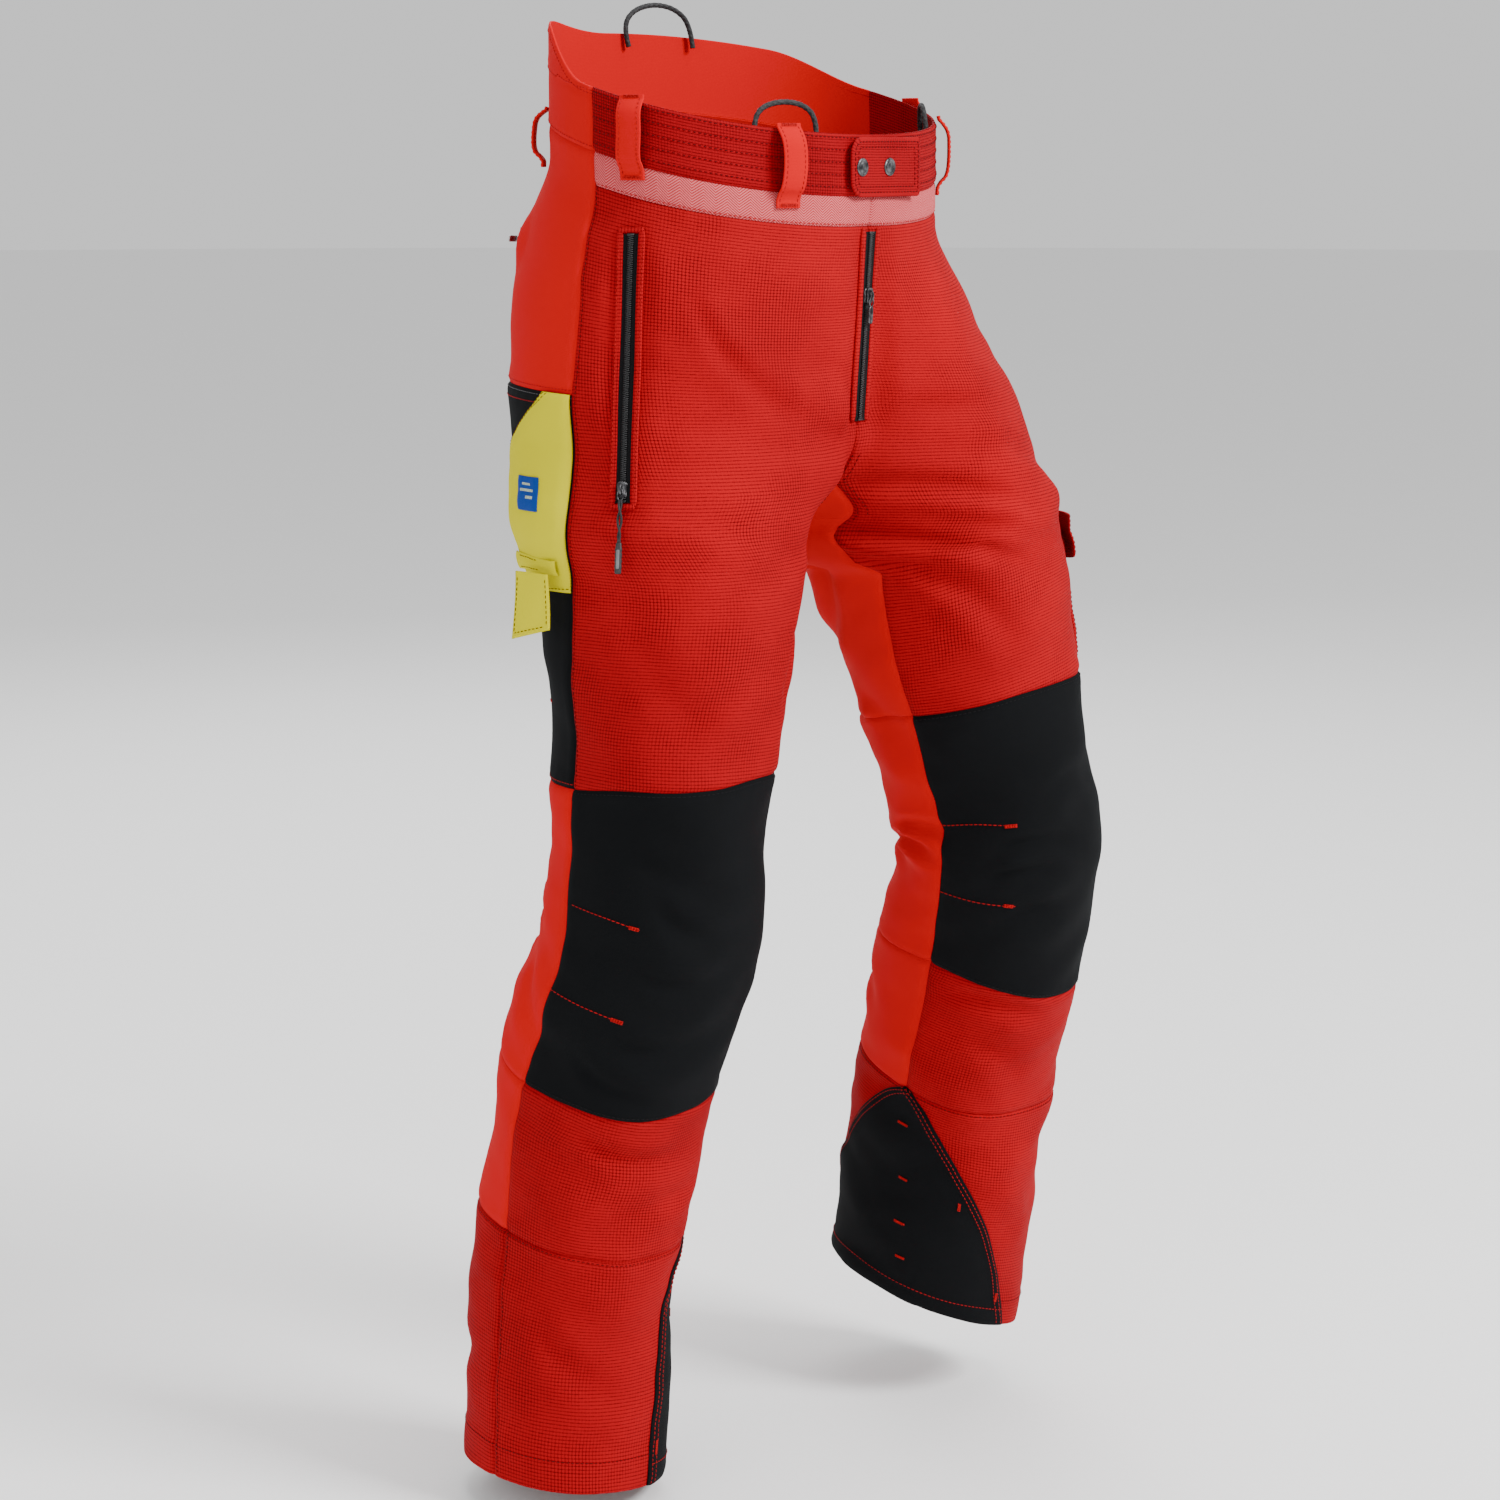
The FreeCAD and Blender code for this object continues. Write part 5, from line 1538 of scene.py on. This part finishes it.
class Zips:
    """The four zips: tape and coil, slider, pull, and the piping beside each."""

    def __init__(self, box: SewingBox) -> None:
        """Zips sewn with a box's thread."""
        self.box = box

    def build(self) -> None:
        """Makes all four."""
        for name, line in GARMENT.zips.items():
            self.tape(name, line)
            self.piping(name, line)
            if name == "back_pocket":
                at, hang, length = 10.0, -1.0, 24.0
            elif name == "fly":
                at, hang, length = 48.0, 1.0, 22.0
            else:
                at, hang = line.length - 10.0, 1.0
                length = 62.0 if name.startswith("right") else 46.0
            self.slider(name, line, at, hang)
            self.pull(name, line, at, hang, length)

    def tape(self, name: str, line: ZipLine) -> None:
        """Two woven tapes and the coil between them, each turn of it a small bent bead."""
        bag = MeshBag()
        u = np.linspace(0.5, line.length - 0.5, max(int(line.length / 4), 12))
        profile = np.array([(0, 0), (6.1, 0), (6.4, -0.35), (6.1, -0.7), (0, -0.7), (-0.1, -0.35)])
        for way in (-1, 1):
            path = line.place(u, way * 0.15, -0.05)
            bag.add(*swept(path, line.across * way, line.outward, profile))
        tape = bag.make(f"{name}_tape", ZIP_TAPE)
        coil = MeshBag()
        pitch = 1.35
        k = np.arange(int((line.length - 4) / pitch))
        turn = np.linspace(0, 2 * math.pi, 5, endpoint=False)
        bend = np.array([(-2.3, 0.1), (-1.9, 0.75), (-0.6, 0.95), (0.5, 0.55), (0.9, 0.15)])
        for way in (-1.0, 1.0):
            shift = 0.0 if way < 0 else pitch / 2
            flow = np.gradient(bend, axis=0)
            flow = flow / np.linalg.norm(flow, axis=1, keepdims=True)
            radius = 0.42 * np.array([0.7, 1, 1, 1, 0.6])[:, None]
            a = np.broadcast_to(np.cos(turn)[None, :] * radius, (5, 5))
            b = np.sin(turn)[None, :] * radius
            w = bend[:, :1] * way + b * -flow[:, 1:] * way
            h = bend[:, 1:] + b * flow[:, :1]
            start = (2 + shift + k * pitch)[:, None, None]
            points = line.place(start + a[None], np.broadcast_to(w, (len(k), 5, 5)),
                                np.broadcast_to(h, (len(k), 5, 5)))
            step = (np.arange(len(k)) * 25)[:, None, None]
            caps = np.stack([np.arange(5)[::-1], np.arange(5) + 20])
            coil.add(points, [(grid_faces(5, 5, closed=True) + step).reshape(-1, 4),
                              (caps + step).reshape(-1, 5)])
        for end in (1.0, line.length - 1.6):
            stop = rounded_outline(5.6, 1.6, (0.6,) * 4, 3)
            axes = np.stack([line.across, line.along, line.outward])
            coil.add(*turned_plate(stop, [(0.2, 0), (0, 0.4), (0, 1.0), (0.3, 1.3)],
                                   line.place(np.array(end), 0.0, 0.0), axes))
        piece = coil.make(f"{name}_coil", COIL)
        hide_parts(f"{name}_zip")
        for part in (tape, piece):
            TRUNK.apply(part)
        LOG.info("%s zip: %.0f mm, %d turns", name, line.length, 2 * len(k))

    def piping(self, name: str, line: ZipLine) -> None:
        """The turned cloth edges along both sides of the tape."""
        bag = MeshBag()
        cloth = STRETCH if name == "back_pocket" else RIPSTOP
        start, end = (-3.0, line.length + 3.0) if name != "fly" else (-2.0, line.length)
        u = np.linspace(start, end, 60)
        profile = rounded_outline(5.4, 2.5, (1.2,) * 4, 5)
        for way in (-1, 1):
            wander = 0.25 * np.sin(u / 17 + way)
            path = line.place(u, way * 8.3 + wander, -0.35)
            taper = 0.55 + 0.45 * np.sin(np.clip((u - start) / 6, 0, 1) * math.pi / 2) * np.sin(
                np.clip((end - u) / 6, 0, 1) * math.pi / 2)
            bag.add(*swept(path, line.across, line.outward, profile, taper))
            row = line.place(u[3:-3], way * 9.3, 0.85)
            self.box.sew(TRUNK, RED_THREAD, row, np.broadcast_to(line.outward, row.shape))
        if name != "fly":
            w = np.linspace(-9.5, 9.5, 24)
            for at in (start + 0.6, end - 0.6):
                path = line.place(at, w, -0.35)
                bag.add(*swept(path, line.along, line.outward, profile * np.array([0.75, 1.0])))
        piece = bag.make(f"{name}_piping", cloth)
        TRUNK.apply(piece)

    def slider(self, name: str, line: ZipLine, at: float, hang: float) -> None:
        """A slider: a waisted plate with side flanges and an arched bridge."""
        bag = MeshBag()
        axes = np.stack([line.across, line.along * hang, line.outward])
        origin = line.place(np.array(at), 0.0, 2.0)
        turn = np.linspace(0, 2 * math.pi, 40, endpoint=False)
        waist = 3.9 - 0.9 * np.exp(-((np.sin(turn) * 6 - 1.0) / 2.2) ** 2)
        outline = np.stack([waist * np.sign(np.cos(turn)) * np.abs(np.cos(turn)) ** 0.55,
                            5.9 * np.sign(np.sin(turn)) * np.abs(np.sin(turn)) ** 0.7], axis=-1)
        for base in (0.0, -2.6):
            bag.add(*turned_plate(outline,
                                  [(0.5, base), (0, base + 0.3), (0, base + 0.8), (0.6, base + 1.15)],
                                  origin, axes))
        neck = rounded_outline(1.6, 5.0, (0.5,) * 4, 3)
        bag.add(*turned_plate(neck, [(0, -2.2), (0, 0.4)], origin + axes[1] * -2.6, axes))
        sweep = np.linspace(0, math.pi, 17)
        arch = (origin + axes[1] * (3.7 * np.cos(sweep))[:, None]
                + axes[2] * (1.0 + 2.9 * np.sin(sweep) ** 0.7)[:, None])
        tangent = unit(np.gradient(arch, axis=0))
        up = np.cross(tangent, np.broadcast_to(axes[0], tangent.shape))
        bag.add(*swept(arch, axes[0], up, rounded_outline(1.6, 0.9, (0.35,) * 4, 3)))
        finish = GUNMETAL if name != "back_pocket" else STEEL
        piece = bag.make(f"{name}_slider_body", finish)
        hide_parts(f"{name}_slider")
        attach(piece, f"{name}_slider")

    def pull(self, name: str, line: ZipLine, at: float, hang: float, length: float) -> None:
        """A pull: a wire link, then a doubled cord with a moulded end, or a metal tag."""
        axes = np.stack([line.across, line.along * hang, line.outward])
        pin = line.place(np.array(at), 0.0, 4.45)
        bag = MeshBag()
        turn = np.linspace(0, 2 * math.pi, 33)[:-1]
        ring = np.concatenate([turn, turn[:1]])
        wide, tall = 2.2, 4.2
        link = (pin + axes[0] * (wide * np.sin(ring) * (1 - 0.25 * np.cos(ring)))[:, None]
                + axes[1] * (tall * (1 - np.cos(ring)) - 0.4)[:, None])
        bag.add(*round_bar(link, 0.55, 8))
        if name in ("fly", "back_pocket"):
            tag = rounded_outline(5.0, length - 8.5, (1.8, 1.8, 2.4, 2.4), 5)
            middle = pin + axes[1] * (8.0 + (length - 8.5) / 2 - 0.6)
            bag.add(*turned_plate(tag, [(0.4, -0.5), (0, -0.2), (0, 0.3), (0.4, 0.6), (1.2, 0.6), (1.5, 0.35),
                                        (2.0, 0.35)], middle, axes))
            piece = bag.make(f"{name}_pull_tag", STEEL if name == "back_pocket" else GUNMETAL)
            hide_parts(f"{name}_pull")
            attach(piece, f"{name}_pull")
            return
        piece = bag.make(f"{name}_pull_link", GUNMETAL)
        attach(piece, f"{name}_pull")
        cord = MeshBag()
        reach = length - 24.0
        v = np.linspace(0, 1, 60)
        for phase in (0.0, math.pi):
            spread = 1.05 * np.sin(math.pi * np.clip(v * 1.1, 0, 1)) ** 0.5 + 0.35
            twist = phase + v * 2.2 * math.pi
            path = (pin + axes[1] * (7.6 + (reach - 7.0) * v)[:, None]
                    + axes[0] * (spread * np.cos(twist))[:, None] + axes[2] * (0.8 * np.sin(twist))[:, None])
            rough = 0.92 + 0.10 * np.sin(v * reach * 3.1)
            cord.add(*round_bar(path, rough, 8))
        piece = cord.make(f"{name}_pull_cord", CORD_CLOTH)
        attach(piece, f"{name}_pull")
        tip = MeshBag()
        v = np.linspace(0, 1, 24)
        bulge = 0.62 + 0.38 * np.clip(v / 0.22, 0, 1) ** 0.6 - 0.25 * np.clip((v - 0.9) / 0.1, 0, 1) ** 2
        ridges = 1 + 0.05 * np.sin(v * 22 * math.pi * 0.5)
        path = pin + axes[1] * (reach + 0.5 + 23.0 * v)[:, None]
        tip.add(*swept(path, axes[0], axes[2], rounded_outline(5.2, 2.9, (1.3,) * 4, 5), bulge * ridges))
        piece = tip.make(f"{name}_pull_end", RUBBER)
        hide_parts(f"{name}_pull")
        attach(piece, f"{name}_pull")
        inlay = MeshBag()
        plate = rounded_outline(2.6, 14.0, (0.8,) * 4, 4)
        middle = pin + axes[1] * (reach + 13.0)
        inlay.add(*turned_plate(plate, [(0, 0.9), (0, 1.5), (0.3, 1.7)], middle, axes))
        piece = inlay.make(f"{name}_pull_inlay", GREY_RUBBER)
        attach(piece, f"{name}_pull")


class Pockets:
    """The yellow first-aid pouch, the left cargo pocket and the bags behind the zips."""

    BAG_LIFT = -4.3
    TAIL_FLAT = (0.037, 0.050)

    def __init__(self, box: SewingBox) -> None:
        """Pockets sewn with a box's thread."""
        self.box = box

    def build(self) -> None:
        """Makes all of them."""
        self.pouch()
        self.cargo()
        self.bags()

    def pouch(self) -> None:
        """The pouch with its curved rear edge, label, strap and hanging tail."""
        def rear(s: Array) -> Array:
            """The pouch's curved rear edge: it swells out, then comes back a little."""
            return 9 + 40 * ease((np.asarray(s) - 176) / 92) - 8 * ease((np.asarray(s) - 292) / 50)

        def full(left: Array, right: Array, up: Array, down: Array) -> Array:
            """The pouch's fullness from its distances to the four edges, with a dimple."""
            edge = [np.clip(d / 26, 0, 1) for d in (left, right, up, down)]
            swell = np.prod([np.sin(math.pi / 2 * e) ** 0.7 for e in edge], axis=0)
            dimple = 0.5 * np.sin(up / 13 + 1) * np.sin(right / 11) * swell
            return 1.0 + 6.2 * swell + dimple - 0.9 * np.exp(-(((right - 6) / 1.2) ** 2))

        pouch = Panel("aid_pouch", Side.RIGHT, 190, 338, lambda s: side_seam(s) + 0.2, rear, YELLOW, TRUNK,
                      ("first_aid_pouch",), lift=1.2, thick=0.9, step=3.2, dip=0.6,
                      crown=full, held=None)
        piece = pouch.make()
        for inset in (2.6, 6.6):
            pouch.sew_edge(self.box, DARK_THREAD, 1, inset, 0.0, 0.86, radius=0.3)
        pouch.sew_edge(self.box, DARK_THREAD, 3, 3.0)
        label = Panel("pouch_label", Side.RIGHT, 252, 277, 12, 25, LABEL_BLUE, TRUNK, (), lift=9.5,
                      thick=1.8, step=3.0, dip=0.3, held=None)
        label.make()
        bars = MeshBag()
        for s in (257.5, 262.5, 267.5):
            bar = Panel("", Side.RIGHT, s, s + 2.0, 14.2, 22.5 if s < 266 else 18.5, LABEL_PALE, TRUNK,
                        lift=10.2, thick=0.5, step=3.0, seams=UNSEAMED)
            bar.add_to(bars)
        piece = bars.make("pouch_label_bars", LABEL_PALE)
        TRUNK.apply(piece)
        strap = Panel("pouch_band", Side.RIGHT, 309, 322, lambda s: side_seam(s) + 3, 40, YELLOW, TRUNK,
                      ("pouch_strap",), lift=9.6, thick=1.3, step=3.0, dip=0.5, held=None)
        strap.make()
        for edge in (2, 3):
            strap.sew_edge(self.box, DARK_THREAD, edge, 2.2, 0.35, 0.8)
        self.tail()

    def tail(self) -> None:
        """The slanted pull tail that hangs behind the pouch."""
        low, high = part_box("pouch_tail")
        centre = np.array((low + high) / 2) / MILLIMETRE
        top = high.z / MILLIMETRE
        _, normal = GARMENT.sample(Side.RIGHT, np.array(324.0), np.array(2.0))
        outward = unit(normal * np.array([1, 1, 0]))
        across = np.cross(np.array([0, 0, 1.0]), outward)
        rows, columns = 26, 18
        v = np.linspace(0, 1, rows)[:, None]
        u = np.linspace(-1, 1, columns)[None, :]
        half = 17.0 + 1.5 * v + 0 * u
        down = v * (44 - 5 * u) - 2 * (1 - v)
        bow = 1.3 * np.sin(v * 2.6) * (1 - u ** 2) + 0.9 * np.sin(2.2 * u + 3 * v) + 1.8 * v * v
        place = np.array([centre[0], centre[1], top]) + outward * 0.2
        middle = (place + across * (half * u)[..., None] + outward * (bow - 0.6)[..., None]
                  + np.array([0, 0, -1.0]) * down[..., None])
        uv = np.stack(np.broadcast_arrays(half * u, -down), axis=-1)
        bag = MeshBag()
        bag.add(*shell(middle + outward * 0.8, middle - outward * 0.8, uv))
        piece = bag.make("aid_pouch_tail", YELLOW)
        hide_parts("pouch_tail")
        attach(piece, "pouch_tail")
        ride = Ride("pouch_tail")
        for column in (1, columns - 2):
            row = middle[2:-1, column] + outward * 0.9
            self.box.sew(ride, DARK_THREAD, row, np.broadcast_to(outward, row.shape))
        row = middle[-3, 1:-1] + outward * 0.9
        self.box.sew(ride, DARK_THREAD, row, np.broadcast_to(outward, row.shape))

    def cargo(self) -> None:
        """The left thigh's flat pocket with its lifting flap."""
        def full(left: Array, right: Array, up: Array, down: Array) -> Array:
            """The pocket's shallow fullness from its distances to the four edges."""
            edge = [np.clip(d / 24, 0, 1) for d in (left, right, up, down)]
            return 0.6 + 3.4 * np.prod([np.sin(math.pi / 2 * e) ** 0.6 for e in edge], axis=0)

        pocket = Panel("left_cargo_pocket", Side.LEFT, 318, 452, -44, 6, RIPSTOP, TRUNK, ("cargo_pocket",),
                       lift=1.4, thick=1.0, step=3.6, dip=0.6, crown=full, held=None)
        piece = pocket.make()
        for edge in (0, 1, 3):
            pocket.sew_edge(self.box, DARK_THREAD, edge, 3.0)
        flap = Panel("left_cargo_flap", Side.LEFT, 304, 362, -47, 5, RIPSTOP, Ride("cargo_flap"),
                     ("cargo_flap",),
                     lift=10.4, thick=1.8, step=3.4, seams=UNSEAMED, held="hung",
                     lower=lambda t: 362 + 5 * np.cos((t + 21) / 26 * math.pi / 2),
                     crown=lambda l, r, u, d: -0.7 * np.exp(-((np.minimum(np.minimum(l, r), d) / 1.4) ** 2)))
        flap.make()
        for edge in (0, 1, 3):
            flap.sew_edge(self.box, DARK_THREAD, edge, 3.0)

    def bags(self) -> None:
        """The thin bags that hang inside behind the zips."""
        def slack(left: Array, right: Array, up: Array, down: Array) -> Array:
            """A thin bag's half-millimetre waves."""
            return 0.5 * np.sin(up / 19) * np.sin(left / 15)

        bag = MeshBag()
        parts = [Panel("", side, 120, 275, -78, -26, BAG_CLOTH, TRUNK, lift=self.BAG_LIFT, thick=0.9,
                       step=6.0,
                       seams=UNSEAMED, crown=slack) for side in Side]
        sizes = [part.add_to(bag) for part in parts]
        piece = bag.make("front_bags", BAG_CLOTH)
        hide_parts("front_pocket_bags")
        TRUNK.apply(piece)
        Panel("back_bag", Side.RIGHT, 122, 215, 46, 84, BAG_CLOTH, TRUNK, ("back_pocket_bag",),
              lift=self.BAG_LIFT,
              thick=0.9, step=6.0, seams=UNSEAMED, crown=slack, held="hung").make()


class InnerLayers:
    """The quilted cut-resistant pads and the thin lining inside them."""

    PAD_LIFT, LINING_LIFT = -11.6, -12.7

    def build(self) -> None:
        """Makes the pads and linings of both legs."""
        for side in Side:
            rise = LEFT_KNEE_RISE if side is Side.LEFT else 0.0
            top, bottom = KNEE_TOP - rise, KNEE_BOTTOM - rise
            self.pad(side, "thigh", 66, top - 3, TRUNK)
            self.pad(side, "knee", top + 1, bottom - 1, KNEE[side])
            self.pad(side, "shin", bottom + 3, HEM - 12, SHIN[side])
            self.lining(side, "thigh", 320, top - 4, TRUNK)
            self.lining(side, "shin", bottom + 4, HEM - 10, SHIN[side])

    @staticmethod
    def quilt(left: Array, right: Array, up: Array, down: Array) -> Array:
        """A pad's filling: rounded channels 42 mm wide, thin at the bound edges."""
        edge = np.clip(np.minimum(np.minimum(left, right), np.minimum(up, down)) / 7, 0, 1)
        channel = np.abs(np.sin(math.pi * left / 42)) ** 0.45
        cross = np.abs(np.sin(math.pi * (up + 14) / 84)) ** 0.35
        return 4.4 * (0.25 + 0.75 * np.sin(math.pi / 2 * edge)) * (0.45 + 0.55 * channel * cross)

    def pad(self, side: Side, part: str, top: float, bottom: float, ride: Ride) -> None:
        """One quilted pad."""
        def edge(s: Array) -> Array:
            """The pad's inner edge, 8 degrees short of the seam and at most 150 round."""
            return np.maximum(-half_turn(s) + 8, -150)

        piece = Panel(f"{side.word}_{part}_pad", side, top, bottom, edge, 0, PAD, ride,
                      (f"{side.word}_{part}_cut_pad",), lift=self.PAD_LIFT, thick=0.6, step=6.0,
                      seams=UNSEAMED, crown=self.quilt, held=None).make()

    def lining(self, side: Side, part: str, top: float, bottom: float, ride: Ride) -> None:
        """One lining tube, a little loose."""
        def loose(left: Array, right: Array, up: Array, down: Array) -> Array:
            """The lining's half-millimetre waves."""
            return 0.5 * np.sin(left / 21) * np.sin(up / 33)

        Panel(f"{side.word}_{part}_lining_tube", side, top, bottom, -179, 179, LINING, ride,
              (f"{side.word}_{part}_lining",), lift=self.LINING_LIFT, thick=0.6, step=7.0, seams=UNSEAMED,
              crown=loose, held="hung").make()


@dataclass(frozen=True)
class Studio:
    """A pale floor, soft lights and the camera."""

    azimuth: float = -50.0
    distance: float = 2.65
    pitch: float = 10.3
    lens: float = 81.6
    floor_height: float = -1.078

    def build(self) -> None:
        """Makes the stage, the lights and the camera."""
        self.floor()
        self.light("key", (0.6, -3.4, 2.2), 1.4, 260)
        self.light("fill", (-3.4, -0.8, 0.6), 2.4, 40)
        self.light("back", (2.2, 2.6, 1.6), 2.2, 60)
        self.light("top", (0.2, -0.2, 3.2), 2.0, 70)
        world = bpy.data.worlds.new("studio")
        bpy.context.scene.world = world
        world.use_nodes = True
        background = world.node_tree.nodes["Background"]
        background.inputs[0].default_value = (1.0, 1.0, 1.0, 1.0)
        background.inputs[1].default_value = 0.85
        self.camera()

    def floor(self) -> None:
        """A wide pale disc."""
        turn = np.linspace(0, 2 * math.pi, 96, endpoint=False)
        circle = np.stack([np.cos(turn), np.sin(turn)], axis=-1) * 30000
        bag = MeshBag()
        axes = np.eye(3)
        bag.add(*turned_plate(circle, [(0, -20.0), (0, 0.0)], np.array([0, 0, self.floor_height * 1000]),
                              axes))
        finish = Cloth("floor", "lining", (0.9, 0.9, 0.9), (0.88, 0.88, 0.88), Pattern.QUILT, 0.9, 0.0)
        points = np.concatenate(bag.points) * MILLIMETRE
        mesh = bpy.data.meshes.new("floor")
        mesh.from_pydata(points.tolist(), [], [face for group in bag.faces for face in group.tolist()])
        mesh.materials.append(finish.material())
        floor = bpy.data.objects.new("floor", mesh)
        bpy.context.scene.collection.objects.link(floor)

    @staticmethod
    def light(name: str, place: tuple[float, float, float], size: float, power: float) -> None:
        """A square soft light aimed at the middle of the trousers."""
        data = bpy.data.lights.new(name, "AREA")
        data.shape, data.size, data.energy = "SQUARE", size, power
        lamp = bpy.data.objects.new(name, data)
        lamp.location = place
        aim = np.array([0.05, 0.0, -0.5]) - np.array(place)
        lamp.rotation_mode = "QUATERNION"
        lamp.rotation_quaternion = Vector(aim).to_track_quat("-Z", "Y")
        bpy.context.scene.collection.objects.link(lamp)

    def camera(self) -> None:
        """The camera, at waist height and looking slightly down."""
        a, p = math.radians(self.azimuth), math.radians(self.pitch)
        right = np.array([math.cos(a), math.sin(a), 0])
        place = np.array([math.sin(a), -math.cos(a), 0]) * self.distance + right * 0.0016
        aim = np.array([-math.sin(a) * math.cos(p), math.cos(a) * math.cos(p), -math.sin(p)])
        data = bpy.data.cameras.new("camera")
        data.lens, data.sensor_width = self.lens, 36.0
        camera = bpy.data.objects.new("camera", data)
        camera.location = place
        camera.rotation_mode = "QUATERNION"
        camera.rotation_quaternion = Vector(aim).to_track_quat("-Z", "Y")
        bpy.context.scene.collection.objects.link(camera)
        bpy.context.scene.camera = camera


def main() -> None:
    """Builds the studio and then every piece."""
    Studio().build()
    box = SewingBox()
    Waist(box).build()
    Legs(box).build()
    Zips(box).build()
    Pockets(box).build()
    InnerLayers().build()
    box.finish()


if __name__ == "__main__":
    main()
